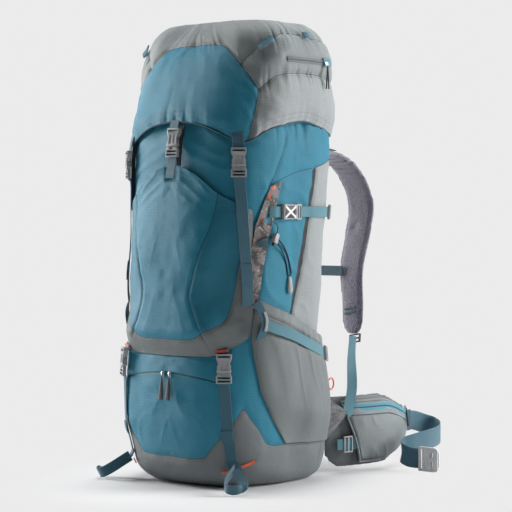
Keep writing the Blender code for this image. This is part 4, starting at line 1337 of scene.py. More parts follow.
def make_buckles(grey, bright, dark):
    """Both halves of every buckle on the bag; the side straps' sockets carry a bright cross."""
    plain, crossed, fork = socket_mould(), socket_mould(True), fork_mould()
    for kind, place, along, outward, twin in BUCKLES:
        for name, side in SIDES if twin else SIDES[:1]:
            tail = f"_{name}" if twin else ""
            # the left front corner is packed fuller, so its buckle stands a little further out
            fuller = Vector(outward) * (0.0075 if kind == "base" and side < 0 else 0)
            matrix = basis(Vector(place) + fuller, along, outward)
            socket_body = "lid" if kind == "lid" else "bag"
            mould = crossed if kind == "side" else plain
            socket_node, fork_node = f"{kind}_buckle_socket{tail}", f"{kind}_buckle_fork{tail}"
            mould_on(f"{kind}_socket_moulding{tail}", mould, matrix, grey, side, socket_body, socket_node)
            mould_on(f"{kind}_fork_moulding{tail}", fork, matrix, grey, side, f"{kind}_fork{tail}", fork_node)
            if kind == "side":
                # a dark plate inside the cross socket's recesses is painted shade: it makes the recess bottoms
                # read dark
                recess = moulded(box_mesh(-0.0112, 0.0112, 0.0008, 0.0312, 0.0086, 0.0092), [], 0.0002)
                mould_on(f"side_socket_shade_plate{tail}", recess, matrix, dark, side, "bag")
                rib = [
                    (-0.0112, 0.0008), (-0.0076, 0.0008), (0.0112, 0.0290), (0.0112, 0.0312),
                    (0.0076, 0.0312), (-0.0112, 0.0030),
                ]
                other = [(-x, y) for x, y in reversed(rib)]
                cross = moulded(prism(rib, 0.0090, 0.0104), [], 0.0004, [prism(other, 0.0090, 0.0104)])
                mould_on(f"side_socket_cross{tail}", cross, matrix, bright, side, "bag")


# ---------------------------------------------------------------- webbing on the bag


def strap(name, body, places, side, finish, slot="webbing", width=0.020, thick=0.0016, nodes=()):
    """A strap laid through (turn, height, out) places."""
    points, widths = lay(places, side)
    return ribbon(name, body, points, widths, width, thick, finish, *nodes, slot=slot)


def bartack(name, body, t, z, out, side, finish, tilt=0.0, length=0.020, width=0.0042):
    """A short dense zigzag of thread over a strap's end."""
    centre, outward = at(t, z, out, side), facing(t, z, side)
    level = Vector((0, 0, 1)).cross(outward).normalized() * side
    along = (level + Vector((0, 0, tilt))).normalized()
    points = [centre + along * (length * (k / 6 - 0.5)) + outward * (0.0004 * math.sin(k)) for k in range(7)]
    ribbon(name, body, points, outward.cross(along), width, 0.0018, finish, step=0.0015)


def ladder_mould():
    """A small three-bar adjuster."""
    shape = [(-0.0135, -0.0085), (0.0135, -0.0085), (0.0135, 0.0085), (-0.0135, 0.0085)]
    cutters = [
        box_mesh(-0.0108, 0.0108, -0.0062, -0.0014, -0.001, 0.006),
        box_mesh(-0.0108, 0.0108, 0.0014, 0.0062, -0.001, 0.006),
    ]
    return moulded(prism(shape, 0.0, 0.0045), cutters, 0.0008)


def make_bag_straps(web, web_pale, grey, orange, shadow_strip_web):
    """The webbing on the bag: lid, base and side straps, gear loops, tabs and the front pocket's strap."""
    ladder = ladder_mould()
    for name, side in SIDES:
        strap(
            f"lid_strap_webbing_{name}", "bag",
            [
                (-41.0, 0.5500, 0.0098), (-40.3, 0.530, 0.0074), (-39.3, 0.490, 0.0076),
                (-37.9, 0.430, 0.0080), (-36.6, 0.380, 0.0080), (-36.0, 0.340, 0.0070),
                (-35.6, 0.322, 0.0048),
            ],
            side, web, nodes=(f"lid_strap_{name}",),
        )
        # a dark strip under the lid strap is painted shadow: it fills the gap between the strap and the bag
        # with dark
        strap(
            f"lid_strap_shadow_strip_{name}", "bag",
            [
                (-41.2, 0.6400, 0.0040), (-41.0, 0.6000, 0.0040), (-40.8, 0.5600, 0.0042),
                (-40.0, 0.5200, 0.0036), (-39.3, 0.4900, 0.0032),
            ],
            side, shadow_strip_web, width=0.0150, thick=0.0060,
        )
        strap(
            f"lid_strap_fold_{name}", "bag",
            [(-37.2, 0.396, 0.0098), (-36.7, 0.378, 0.0102), (-36.4, 0.362, 0.0096)], side, web,
            width=0.0212,
        )
        strap(
            f"lid_strap_tail_{name}", "lid",
            [
                (-41.4, 0.634, 0.0075), (-41.2, 0.618, 0.0098), (-41.0, 0.604, 0.0110),
                (-40.9, 0.596, 0.0112),
            ],
            side, web,
        )
        strap(
            f"lid_strap_loop_{name}", f"lid_fork_{name}",
            [(-40.7, 0.5535, 0.0090), (-40.9, 0.5490, 0.0122), (-40.8, 0.5440, 0.0116)], side, web,
        )

        strap(
            f"base_strap_top_{name}", "bag",
            [(-50.8, 0.2500, 0.0034), (-50.8, 0.243, 0.0046), (-50.7, 0.236, 0.0060)], side, web,
        )
        bartack(f"base_strap_tack_{name}", "bag", -50.9, 0.2435, 0.0066, side, orange, 0.10, 0.021)
        points, widths = lay(
            [
                (-50.0, 0.196, 0.0075), (-50.0, 0.186, 0.0045), (-49.4, 0.160, 0.0032),
                (-48.4, 0.120, 0.0030), (-47.0, 0.085, 0.0028), (-46.2, 0.062, 0.0028),
                (-45.8, 0.050, 0.0030),
            ],
            side,
        )
        root = Vector((side * 0.1215, -0.1250, 0.0430))
        tip = Vector((side * 0.1600, -0.1765, 0.0105))
        forward = (tip - root).normalized()
        level = Vector((-forward.y, forward.x, 0)).normalized() * side
        stand = forward.cross(level).normalized()
        for reach, wide in (
            (0.10, 0.0015), (0.30, 0.0060), (0.55, 0.0125), (0.78, 0.0155), (0.93, 0.0120), (1.0, 0.0),
            (0.93, -0.0120), (0.78, -0.0155), (0.55, -0.0125), (0.30, -0.0060), (0.10, -0.0015),
        ):
            points.append(root.lerp(tip, reach) + level * wide)
            widths.append(stand * -side)
        lower, node = f"base_strap_webbing_{name}", f"base_strap_{name}"
        ribbon(lower, "bag", points, widths, 0.0195, 0.0016, web, node, step=0.003)
        strap(
            f"base_strap_keeper_{name}", "bag",
            [(-48.7, 0.105, 0.0052), (-48.3, 0.095, 0.0056), (-47.8, 0.086, 0.0050)], side, web,
            width=0.0205,
        )
        bartack(f"gear_tack_inner_{name}", "bag", -48.2, 0.0330, 0.0030, side, orange, 0.14, 0.020, 0.0040)
        bartack(f"gear_tack_outer_{name}", "bag", -36.0, 0.0450, 0.0030, side, orange, 0.34, 0.030, 0.0052)

        strap(
            f"side_strap_front_{name}", "bag",
            [
                (-21.5, 0.487, 0.0030), (-19.0, 0.487, 0.0060), (-16.0, 0.487, 0.0070),
                (-13.2, 0.487, 0.0060),
            ],
            side, web_pale, width=0.0190,
        )
        points, widths = lay(
            [
                (5.4, 0.487, 0.0070), (9.0, 0.487, 0.0045), (20.0, 0.487, 0.0042), (30.0, 0.487, 0.0050),
                (36.0, 0.487, 0.0050), (40.0, 0.487, 0.0030),
            ],
            side,
        )
        held = band(f"side_strap_webbing_{name}", points, widths, 0.0190, 0.0016, web_pale)
        tie(held, "webbing", "bag", f"side_fork_{name}", points[-3], points[1], f"side_strap_{name}")
        matrix = basis(at(34.0, 0.487, 0.0055), (0, 1, 0), facing(34.0, 0.487))
        mould_on(f"side_ladder_{name}", ladder, matrix, grey, side, "bag")

        lower_line = [
            (-27.5, 0.292, 0.0130), (-22.0, 0.284, 0.0150), (-12.0, 0.274, 0.0180), (-2.0, 0.264, 0.0192),
            (8.0, 0.253, 0.0182), (18.0, 0.242, 0.0152), (26.0, 0.233, 0.0112), (34.0, 0.224, 0.0070),
            (40.0, 0.217, 0.0030),
        ]
        strap(f"side_strap_lower_{name}", "bag", lower_line, side, web_pale, width=0.0185)
        matrix = basis(at(31.5, 0.2268, 0.0105), (0.18, 1, -0.12), facing(31.5, 0.227))
        mould_on(f"lower_ladder_{name}", ladder, matrix, grey, side, "bag")
        strap(
            f"lower_strap_tab_{name}", "bag",
            [
                (-31.0, 0.328, 0.0060), (-28.5, 0.313, 0.0135), (-27.0, 0.296, 0.0165),
                (-27.6, 0.278, 0.0130), (-29.0, 0.262, 0.0060), (-30.4, 0.252, 0.0030),
            ],
            side, web, width=0.0150,
        )
        strap(
            f"lower_strap_loop_{name}", "bag",
            [
                (-27.2, 0.312, 0.0158), (-26.4, 0.301, 0.0182), (-26.4, 0.290, 0.0186),
                (-26.9, 0.278, 0.0158),
            ],
            side, grey, "buckle_plastic", width=0.0052, thick=0.0024,
        )

    # the front pocket's own strap, from its buckle to the top of the panel
    up = [
        at(-90, z, out)
        for z, out in (
            (0.594, 0.0055), (0.586, 0.0060), (0.576, 0.0072), (0.568, 0.0086), (0.558, 0.0102),
            (0.546, 0.0122),
        )
    ]
    lower = band("pocket_strap_lower", up, ACROSS, 0.020, 0.0016, web)
    tie(lower, "webbing", "bag", "pocket_fork", up[-1], up[1])
    # a narrow dark strip beside the pocket strap is painted shadow, where the strap and its buckle stand off
    # the bag
    under = [
        at(-84.6, z, out)
        for z, out in ((0.640, 0.0022), (0.620, 0.0030), (0.600, 0.0036), (0.580, 0.0036), (0.568, 0.0040))
    ]
    ribbon("pocket_strap_shadow_strip", "bag", under, ACROSS, 0.0080, 0.0030, shadow_strip_web)
    top = [
        (0, y, z)
        for y, z in (
            (-0.1480, 0.628), (-0.1490, 0.634), (-0.1466, 0.642), (-0.1436, 0.650), (-0.1380, 0.657)
        )
    ]
    ribbon("pocket_strap_upper", "bag", top, ACROSS, 0.020, 0.0016, web)


# ---------------------------------------------------------------- padding


def stuffed(pads):
    """Foam under cloth: each form is remeshed evenly and blown up by a cloth simulation, up to a cap.

    pads are (object, voxel, pressure, cap, sewn), and sewn finds, from coordinates, the vertices that stay.
    """
    scene = bpy.context.scene
    graph = bpy.context.evaluated_depsgraph_get
    for made, voxel, pressure, _, sewn in pads:
        even_mesh = made.modifiers.new("even", "REMESH")
        even_mesh.mode = "VOXEL"
        even_mesh.voxel_size = voxel
        bpy.context.view_layer.update()
        mesh = bpy.data.meshes.new_from_object(made.evaluated_get(graph()))
        made.modifiers.clear()
        made.data = mesh
        co = np.empty(len(mesh.vertices) * 3)
        mesh.vertices.foreach_get("co", co)
        group = made.vertex_groups.new(name="sewn")
        held = np.nonzero(sewn(co.reshape(-1, 3)))[0]
        group.add([int(i) for i in held], 1.0, "REPLACE")
        cloth = made.modifiers.new("cloth", "CLOTH")
        cloth.settings.quality = 4
        cloth.settings.mass = 0.25
        cloth.settings.tension_stiffness = 12
        cloth.settings.compression_stiffness = 12
        cloth.settings.bending_stiffness = 0.4
        cloth.settings.use_pressure = True
        cloth.settings.uniform_pressure_force = pressure
        cloth.settings.effector_weights.gravity = 0
        cloth.settings.vertex_group_mass = "sewn"
        cloth.point_cache.frame_start = 1
        cloth.point_cache.frame_end = 20
    for frame_number in range(1, 21):
        scene.frame_set(frame_number)
    for made, _, _, cap, _ in pads:
        before = np.empty(len(made.data.vertices) * 3)
        made.data.vertices.foreach_get("co", before)
        blown = made.evaluated_get(graph()).to_mesh()
        after = np.empty(len(before))
        blown.vertices.foreach_get("co", after)
        before, after = before.reshape(-1, 3), after.reshape(-1, 3)
        moved = after - before
        far = np.linalg.norm(moved, axis=1, keepdims=True)
        settled = before + moved * np.minimum(1, cap / np.maximum(far, 1e-9))
        made.modifiers.clear()
        made.data.vertices.foreach_set("co", settled.reshape(-1))
        made.data.update()
        finer = made.modifiers.new("finer", "SUBSURF")
        finer.levels = finer.render_levels = 1
        bpy.context.view_layer.update()
        mesh = bpy.data.meshes.new_from_object(made.evaluated_get(graph()))
        made.modifiers.clear()
        made.data = mesh
        mesh.shade_smooth()
    scene.frame_set(1)


def dress(made, finishes, choose):
    """Gives each face of a padded piece one of its finishes, chosen from face centres and normals."""
    mesh = made.data
    mesh.materials.clear()
    for finish in finishes:
        mesh.materials.append(finish)
    centres, normals = np.empty(len(mesh.polygons) * 3), np.empty(len(mesh.polygons) * 3)
    mesh.polygons.foreach_get("center", centres)
    mesh.polygons.foreach_get("normal", normals)
    chosen = choose(centres.reshape(-1, 3), normals.reshape(-1, 3)).astype(int)
    mesh.polygons.foreach_set("material_index", chosen)


SHOULDER_ROUTE = (
    (0.055, 0.1345, 0.572),
    (0.058, 0.170, 0.592),
    (0.062, 0.215, 0.597),
    (0.067, 0.265, 0.578),
    (0.072, 0.301, 0.540),
    (0.076, 0.315, 0.495),
    (0.080, 0.297, 0.440),
    (0.083, 0.274, 0.375),
    (0.085, 0.275, 0.310),
    (0.0865, 0.2735, 0.250),
)


def strap_frame(count=60):
    """Points, width directions and outward directions along the right padded strap."""
    line = smooth_line(SHOULDER_ROUTE, 10)
    run = np.concatenate([[0], np.cumsum(np.linalg.norm(np.diff(line, axis=0), axis=1))])
    share = np.linspace(0, 1, count)
    points = np.stack([np.interp(share * run[-1], run, line[:, k]) for k in range(3)], -1)
    along = unit(np.gradient(points, axis=0))
    widths = np.array([1.0, 0, 0]) + 0 * along
    widths = unit(widths - along * (widths * along).sum(-1, keepdims=True))
    return share, points, widths, np.cross(widths, along)


def make_shoulder_straps(mesh_finish, outer_finish, binding):
    """Both padded straps: the pads for the simulation, and the function that finishes them after it."""
    share, points, widths, faces = strap_frame()
    half = (0.062 - 0.014 * ease((share - 0.5) / 0.5)) / 2
    end = np.clip((share - 0.945) / 0.055, 0, 1)
    half = half * np.sqrt(np.maximum(1 - 0.80 * end**2, 0.05))
    deep = 0.0058 - 0.0012 * ease((share - 0.9) / 0.1)
    turns = np.linspace(0, 2 * math.pi, 28, False)
    shape = np.stack(
        [
            np.sign(np.cos(turns)) * np.abs(np.cos(turns)) ** 0.55,
            np.sign(np.sin(turns)) * np.abs(np.sin(turns)) ** 0.8,
        ],
        -1,
    )
    rings = points[:, None] + widths[:, None] * (
        half[:, None] * shape[:, 0]
    )[..., None] + faces[:, None] * (deep[:, None] * shape[:, 1])[..., None]
    made = []
    for name, side in SIDES:
        form = stack(f"shoulder_pad_{name}", rings * (side, 1, 1), mesh_finish)
        made.append((name, side, form))

    def sewn_on(side):
        def sewn(co):
            co = co * (side, 1, 1)
            nearest = np.argmin(np.linalg.norm(co[:, None] - points[None], axis=2), axis=1)
            off = co - points[nearest]
            across = np.abs((off * widths[nearest]).sum(1)) / half[nearest]
            return (across > 0.86) | (share[nearest] < 0.02)
        return sewn

    pads = [(form, 0.0042, 4.0, 0.0022, sewn_on(side)) for _, side, form in made]

    def finished():
        for name, side, form in made:
            co = np.empty(len(form.data.vertices) * 3)
            form.data.vertices.foreach_get("co", co)
            co = co.reshape(-1, 3) * (side, 1, 1)
            nearest = np.argmin(np.linalg.norm(co[:, None] - points[None], axis=2), axis=1)
            off = co - points[nearest]
            across = (off * widths[nearest]).sum(1)
            dimple = np.exp(-(((share[nearest] - 0.575) / 0.020) ** 2) - ((across + 0.006) / 0.009) ** 2)
            wrinkle = 0.0011 * np.exp(
                -(((share[nearest] - 0.27) / 0.10) ** 2)
            ) * np.sin(share[nearest] * 150 + across * 60)
            welt = groove(np.abs(across) - half[nearest] * 0.80, 0.0011, 0.0022)
            facing_bag = -np.sign((off * faces[nearest]).sum(1))
            co += faces[nearest] * (facing_bag * (0.0030 * dimple - wrinkle - welt))[:, None]
            form.data.vertices.foreach_set("co", (co * (side, 1, 1)).reshape(-1))
            form.data.update()

            def choose(centres, normals, side=side):
                c, n = centres * (side, 1, 1), normals * (side, 1, 1)
                near = np.argmin(np.linalg.norm(c[:, None] - points[None], axis=2), axis=1)
                return (n * faces[near]).sum(1) > 0.55

            dress(form, [mesh_finish, outer_finish], choose)
            attach(form, f"shoulder_{name}", "spacer_mesh", f"shoulder_strap_{name}")
            for k, at_share in enumerate((0.905, 0.925)):
                i = int(at_share * (len(share) - 1))
                centre = points[i] - faces[i] * 0.0070
                line = [
                    (centre + widths[i] * (x - 0.002) + np.array((0, 0, 0.20 * x))) * (side, 1, 1)
                    for x in np.linspace(-0.013, 0.013, 6)
                ]
                ribbon(f"shoulder_slot_{name}_{k}", f"shoulder_{name}", line, UP, 0.0034, 0.0014, binding)
    return pads, finished


def back_y(x, z):
    profile = PROFILE["bag"]
    half_width, back = np.interp(z, profile[:, 0], profile[:, 1]), np.interp(z, profile[:, 0], profile[:, 3])
    return MIDDLE_Y + (back - MIDDLE_Y) * (1 - (np.abs(x) / half_width) ** BACK_POWER) ** (1 / BACK_POWER)


def make_back_pads(finish):
    """Two cushions of foam under mesh for each pad, with an open channel between them."""
    pads, made = [], []
    for name, thick, channel in (("back_pad", 0.0125, 0.018), ("lumbar_pad", 0.0180, 0.010)):
        low, high = (np.array(v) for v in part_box(name))
        half, foot, top = high[0] - 0.001, low[2] + 0.001, high[2] - 0.001
        for side_name, side in SIDES:
            x, z = np.meshgrid(
                np.linspace(half, channel, 40), np.linspace(foot, top, max(int((top - foot) / 0.005), 20)),
                indexing="ij",
            )
            inward = np.minimum(np.minimum(z - foot, top - z), np.minimum(half - x, x - channel))
            corner = np.hypot(
                np.maximum(0.016 - (half - x), 0), np.maximum(0.016 - np.minimum(z - foot, top - z), 0)
            )
            deep = 0.0072 + (thick - 0.0085) * ease(inward / 0.020) - 0.0030 * ease((corner - 0.016) / 0.004)
            y = back_y(x, z) + 0.0012
            outer = np.stack([side * x, y + deep, z], -1)
            inner = np.stack([side * x, y, z], -1)
            form = stack(
                f"{name}_cushion_{side_name}", np.concatenate([outer, inner[:, ::-1]], axis=1), finish
            )

            def sewn(co, channel=channel, half=half, foot=foot, top=top):
                across = np.abs(co[:, 0])
                edge = np.minimum(
                    np.minimum(co[:, 2] - foot, top - co[:, 2]), np.minimum(half - across, across - channel)
                )
                return (edge < 0.004) | (co[:, 1] < back_y(co[:, 0], co[:, 2]) + 0.0045)

            pads.append((form, 0.0046, 3.0, 0.0026, sewn))
            made.append((form, (name,) if side > 0 else ()))

    def finished():
        for form, nodes in made:
            attach(form, "bag", "spacer_mesh", *nodes)
    return pads, finished


# ---------------------------------------------------------------- hip belt

WING_ROUTE = ((0.113, 0.143), (0.129, 0.176), (0.143, 0.220), (0.150, 0.270), (0.148, 0.320), (0.138, 0.368))
BELT_ROUTE = (
    (0.1435, 0.3740, 0.0780),
    (0.1420, 0.4050, 0.0740),
    (0.1470, 0.4300, 0.0660),
    (0.1620, 0.4420, 0.0600),
    (0.1850, 0.4300, 0.0550),
    (0.2050, 0.3950, 0.0510),
    (0.2130, 0.3500, 0.0485),
    (0.2100, 0.3050, 0.0450),
    (0.2045, 0.2780, 0.0400),
    (0.2090, 0.2640, 0.0320),
    (0.2250, 0.2620, 0.0250),
    (0.2455, 0.2660, 0.0236),
)


def wing_at(u, z, out):
    """Points of the right wing: u along it from the bag, z its height, out from its inner face."""
    line = smooth_line(WING_ROUTE, 12)
    run = np.concatenate([[0], np.cumsum(np.linalg.norm(np.diff(line, axis=0), axis=1))])
    here = np.stack([np.interp(np.asarray(u) * run[-1], run, line[:, k]) for k in (0, 1)], -1)
    slope = unit(np.gradient(line, axis=0))
    along = np.stack([np.interp(np.asarray(u) * run[-1], run, slope[:, k]) for k in (0, 1)], -1)
    out = np.asarray(out)
    x = here[..., 0] + along[..., 1] * out
    y = here[..., 1] - along[..., 0] * out
    return np.stack([x, y, np.asarray(z) + 0 * x], -1)


def wing_share(y):
    """The share of the wing's run that lies at a Y."""
    return np.clip((y - 0.143) / 0.225, 0, 1)


def wing_tip(u):
    """How far each edge draws in at the wing's rounded tip."""
    return 0.020 * np.clip((u - 0.93) / 0.07, 0, 1) ** 2


def wing_low(u):
    return 0.006 + 0.026 * np.clip(
        (0.15 - u) / 0.15, 0, 1
    ) ** 2 + 0.034 * ease((u - 0.55) / 0.45) + wing_tip(u)


def wing_high(u):
    return 0.142 - 0.032 * ease((u - 0.5) / 0.5) - wing_tip(u)


def pocket_out(u, z):
    """How far the wing's pocket stands out from the wing's inner face."""
    v = np.clip((z - wing_low(u)) / (wing_high(u) - wing_low(u)), 0, 1)
    core = 0.006 + 0.007 * np.sin(np.pi * v) ** 0.5
    p = np.clip((u - 0.13) / 0.80, 0, 1)
    return core + 0.0010 + 0.0185 * np.maximum(
        np.sin(np.pi * p), 0
    ) ** 0.55 * np.maximum(np.sin(np.pi * v), 0) ** 0.6


def zip_tape(name, colour, dark=0.28):
    """Zip tape with a line of closed teeth down its middle."""
    g = Graph(name, 0.6)
    across = g.tree.nodes.new("ShaderNodeSeparateXYZ")
    g.link(g.attribute("cloth", "Vector"), across.inputs[0])
    x = across.outputs["X"]
    teeth = g.band(x, 0.0012, 0.0003)
    tooth = g.wave("Y", 600)
    fold = g.band(g.math("SUBTRACT", g.math("ABSOLUTE", x), 0.0040), 0.0005, 0.0004)
    shown = g.mix(teeth, colour, shade(colour, dark))
    shown = g.mix(g.math("MULTIPLY", fold, 0.5), shown, shade(colour, 0.5))
    height = g.math("MULTIPLY_ADD", g.math("MULTIPLY", teeth, tooth), 2.5, g.wave("X", 700))
    g.bump(height, 0.0003)
    return g.finish(shown, 0.25)


def make_slider(name, body, place, outward, finish, pull_finish, pull, side, node, pulls=1):
    """A zip slider with one or two fabric pulls hanging from it."""
    out = Vector(outward).normalized()
    down = Vector((0, 0, -1))
    down = (down - out * down.dot(out)).normalized()
    across = down.cross(out)
    matrix = basis(Vector(place) + out * 0.0006, -down, out)
    mould = moulded(
        prism(
            [
                (-0.0030, -0.0085), (0.0030, -0.0085), (0.0042, -0.0005), (0.0030, 0.0012),
                (-0.0030, 0.0012), (-0.0042, -0.0005),
            ],
            0.0, 0.0026,
        ),
        [],
        0.0006,
        [box_mesh(-0.0010, 0.0010, -0.0072, -0.0005, 0.0020, 0.0046)],
    )
    attach(put(f"{name}_body", mould, matrix, finish, side), body, "zip_metal", node)
    for k in range(pulls):
        lean = (k - (pulls - 1) / 2) * 0.16
        hang = (down + across * lean).normalized()
        start = Vector(place) + out * 0.0046 + down * 0.0055 + across * lean * 0.004
        rings = []
        for run, half, deep in (
            (0, 0.0010, 0.0008), (0.006, 0.0011, 0.0009), (0.0085, 0.0012, 0.0010), (0.011, 0.0021, 0.0015),
            (0.016, 0.0026, 0.0018), (pull * 0.75, 0.0031, 0.0019), (pull - 0.003, 0.0034, 0.0019),
            (pull, 0.0028, 0.0013),
        ):
            half = min(half, 0.0013) if pulls > 1 else half * (1 + 0.95 * run / pull)
            deep = min(deep, 0.0011) if pulls > 1 else deep
            centre = start + hang * run
            turns = np.linspace(0, 2 * math.pi, 14, False)
            side_way = hang.cross(out).normalized()
            rings.append(
                [centre + side_way * (half * math.cos(a)) + out * (deep * math.sin(a)) for a in turns]
            )
        rings = np.array([[tuple(p) for p in ring] for ring in rings]) * (side, 1, 1)
        attach(stack(f"{name}_pull_{k}", rings, pull_finish), body, "cord")


def make_hip_belt(
    cloth, foam, web, web_pale, tape, piping, pale_piping, grey, bright, dark_cloth, silver, pull_dark
):
    """The belt's wings with their pockets, zips, piping, webbing and buckle halves."""
    u, v = np.meshgrid(np.linspace(0, 1, 60), np.linspace(0, 1, 36), indexing="ij")
    z = wing_low(u) + (wing_high(u) - wing_low(u)) * v
    outer = wing_at(u, z, 0.0045 + 0.0060 * np.sin(np.pi * v) ** 0.5)
    inner = wing_at(u, z, 0.0)
    rings = np.concatenate([outer, inner[:, ::-1]], axis=1)
    pads, made = [], []
    for name, side in SIDES:
        form = stack(f"wing_pad_{name}", rings * (side, 1, 1), cloth)
        made.append((name, side, form))

        def sewn(co, side=side):
            co = co * (side, 1, 1)
            share = wing_share(co[:, 1])
            low, high = wing_low(share), wing_high(share)
            edge = np.minimum(co[:, 2] - low, high - co[:, 2])
            return (edge < 0.006) | (share < 0.03)

        pads.append((form, 0.0050, 4.0, 0.0028, sewn))

    def finished():
        ladder = ladder_mould()
        for name, side, form in made:
            body = f"wing_{name}"

            def choose(centres, normals, side=side):
                c, n = centres * (side, 1, 1), normals * (side, 1, 1)
                share = wing_share(c[:, 1])
                away = wing_at(share, c[:, 2], 0.01) - wing_at(share, c[:, 2], 0.0)
                return (n * away).sum(1) < -0.003

            dress(form, [dark_cloth, foam], choose)
            attach(form, body, "spacer_mesh", f"hip_wing_{name}")
            make_wing_pocket(name, side, cloth, tape, piping, pale_piping)
            make_wing_webbing(name, side, ladder, web, web_pale, piping, grey)
            turn = math.radians(22)
            outward = Vector((math.cos(turn), math.sin(turn), 0))
            start = Vector((0.0083, 0.270, 0.112)) + outward * 0.1690
            slider, lean = f"belt_zip_{name}", Vector((0, 0, 0.10))
            node = f"belt_zip_slider_{name}"
            make_slider(slider, slider, start, outward + lean, silver, pull_dark, 0.036, side, node, pulls=2)
        make_hip_buckle(bright)
    return pads, finished


def make_wing_pocket(name, side, cloth, tape, piping, pale_piping):
    """The zipped pocket on a wing, with its zip and piping."""
    body = f"wing_{name}"
    p, q = np.meshgrid(np.linspace(0, 1, 72), np.linspace(0, 1, 54), indexing="ij")
    left = 0.13 + 0.17 * (1 - q)
    right = 0.965 - 0.05 * (1 - q) ** 2
    u = left + (right - left) * p
    low, high = wing_low(u) + 0.010, wing_high(u) - 0.009
    z = low + (high - low) * q
    run = u * 0.25
    relief = 0.0012 * noise(run, z, 0.030, 0.024, 121)
    relief += 0.0022 * (folds(run + z * 0.5, z, 0.020, 0.040, 122) - 0.4) * ease((0.06 - z) / 0.03)
    relief += 0.0016 * (folds(run, z, 0.030, 0.025, 123) - 0.4) * ease((z - 0.07) / 0.03)
    edge = np.minimum(np.minimum(p, 1 - p) * 0.20, np.minimum(q, 1 - q) * 0.10)
    out = pocket_out(u, z) + relief * ease(edge / 0.010) - 0.0045 * (1 - ease(edge / 0.006))
    grid = wing_at(u, z, out) * (side, 1, 1)
    fields = {"cloth": np.stack([run, z, 0 * z], -1), "m_edge": edge - 0.0035}
    if side < 0:
        grid = grid[::-1]
        fields = {key: value[::-1] for key, value in fields.items()}
    attach(sheet_solid(f"wing_pocket_{name}", grid, 0.0022, cloth, fields), body, "grey_fabric")

    def along_wing(us, zs, lift):
        return wing_at(us, zs, pocket_out(us, zs) + lift) * (side, 1, 1)

    def trim(part, us, zs, lift, radius, finish):
        attach(
            tube(f"wing_piping_{part}_{name}", along_wing(us, zs, lift), radius, finish, 2), body, "webbing"
        )

    us = np.linspace(0.14, 0.885, 14)
    zip_line = along_wing(us, wing_high(us) - 0.0225, 0.0010)
    ribbon(f"wing_zip_{name}", body, zip_line, UP, 0.0135, 0.0016, tape)
    us = np.linspace(0.14, 0.90, 14)
    trim("top", us, wing_high(us) - 0.0362, 0.0012, 0.0008, piping)
    q = np.linspace(1, 0, 16)
    us = 0.13 + 0.17 * (1 - q)
    zs = wing_low(us) + 0.010 + (wing_high(us) - wing_low(us) - 0.019) * q
    trim("front", us, zs, -0.0004, 0.0012, pale_piping)
    us = np.linspace(0.30, 0.52, 9)
    trim("foot", us, wing_low(us) + 0.0100, -0.0008, 0.0012, pale_piping)


def make_wing_webbing(name, side, ladder, web, web_pale, piping, grey):
    """The webbing from a wing's tip, its anchor, and the tensioner at the wing's root."""
    body = f"wing_{name}"
    lead = flipped(((0.1465, 0.3450, 0.0810), *BELT_ROUTE), side)
    ribbon(f"belt_webbing_{name}", body, lead, UP, 0.0375, 0.0020, web, f"hip_webbing_{name}", step=0.003)
    anchor = ((0.1600, 0.333, 0.082), (0.1580, 0.350, 0.081), (0.1515, 0.366, 0.079), (0.1480, 0.380, 0.078))
    ribbon(f"belt_anchor_{name}", body, flipped(anchor, side), UP, 0.041, 0.0020, piping)
    wider = Matrix.Diagonal((1.15, 1.15, 1.0, 1.0))
    matrix = basis((0.1475, 0.1720, 0.052), (0.25, 1, 0), (1, -0.35, 0)) @ wider
    mould_on(f"wing_ladder_{name}", ladder, matrix, grey, side, body)
    pulled = ((0.1400, 0.150, 0.052), (0.1475, 0.166, 0.052), (0.1530, 0.184, 0.052), (0.1560, 0.200, 0.052))
    ribbon(f"wing_tensioner_{name}", body, flipped(pulled, side), UP, 0.0200, 0.0015, web_pale)


def make_hip_buckle(finish):
    """The hip belt's two buckle halves, larger than the others, at the ends of its webbing."""
    grown = Matrix.Diagonal((1.68, 1.28, 0.85, 1.0))
    x, y, z = BELT_ROUTE[-1]
    halves = (("socket", hip_socket_mould(), "right", 1, 0.033), ("fork", fork_mould(), "left", -1, 0.018))
    for half, mould, wing, side, reach in halves:
        place = Vector((side * (x + 1.28 * reach + 0.0014), y - 0.0045, z))
        matrix = basis(place, (-1, 0, 0), (0, 1, 0)) @ grown
        mould_on(f"hip_{half}_moulding", mould, matrix, finish, 1, f"wing_{wing}", f"hip_buckle_{half}")


def hip_socket_mould():
    """The hip buckle's socket half: a broad plate with a curved edge and two slots."""
    shape = [(0.0105, 0.0), (0.0128, 0.0025), (0.0135, 0.0065), (0.0135, 0.0330)]
    shape = shape + [(-x, y) for x, y in reversed(shape)]
    cutters = [
        box_mesh(-0.0088, 0.0088, -0.001, 0.0190, 0.0026, 0.0064),
        box_mesh(-0.0112, 0.0112, 0.0266, 0.0300, -0.001, 0.011),
        box_mesh(-0.0078, -0.0022, 0.0085, 0.0120, 0.0060, 0.011),
        box_mesh(0.0022, 0.0078, 0.0085, 0.0120, 0.0060, 0.011),
        box_mesh(-0.0078, -0.0022, 0.0085, 0.0120, -0.001, 0.0030),
        box_mesh(0.0022, 0.0078, 0.0085, 0.0120, -0.001, 0.0030),
        box_mesh(-0.0095, 0.0095, 0.0170, 0.0225, 0.0080, 0.011),
        box_mesh(-0.0095, 0.0095, 0.0170, 0.0225, -0.001, 0.0010),
    ]
    return moulded(prism(shape, 0.0, 0.0090), cutters, 0.0010)


# ---------------------------------------------------------------- links between the straps and the bag


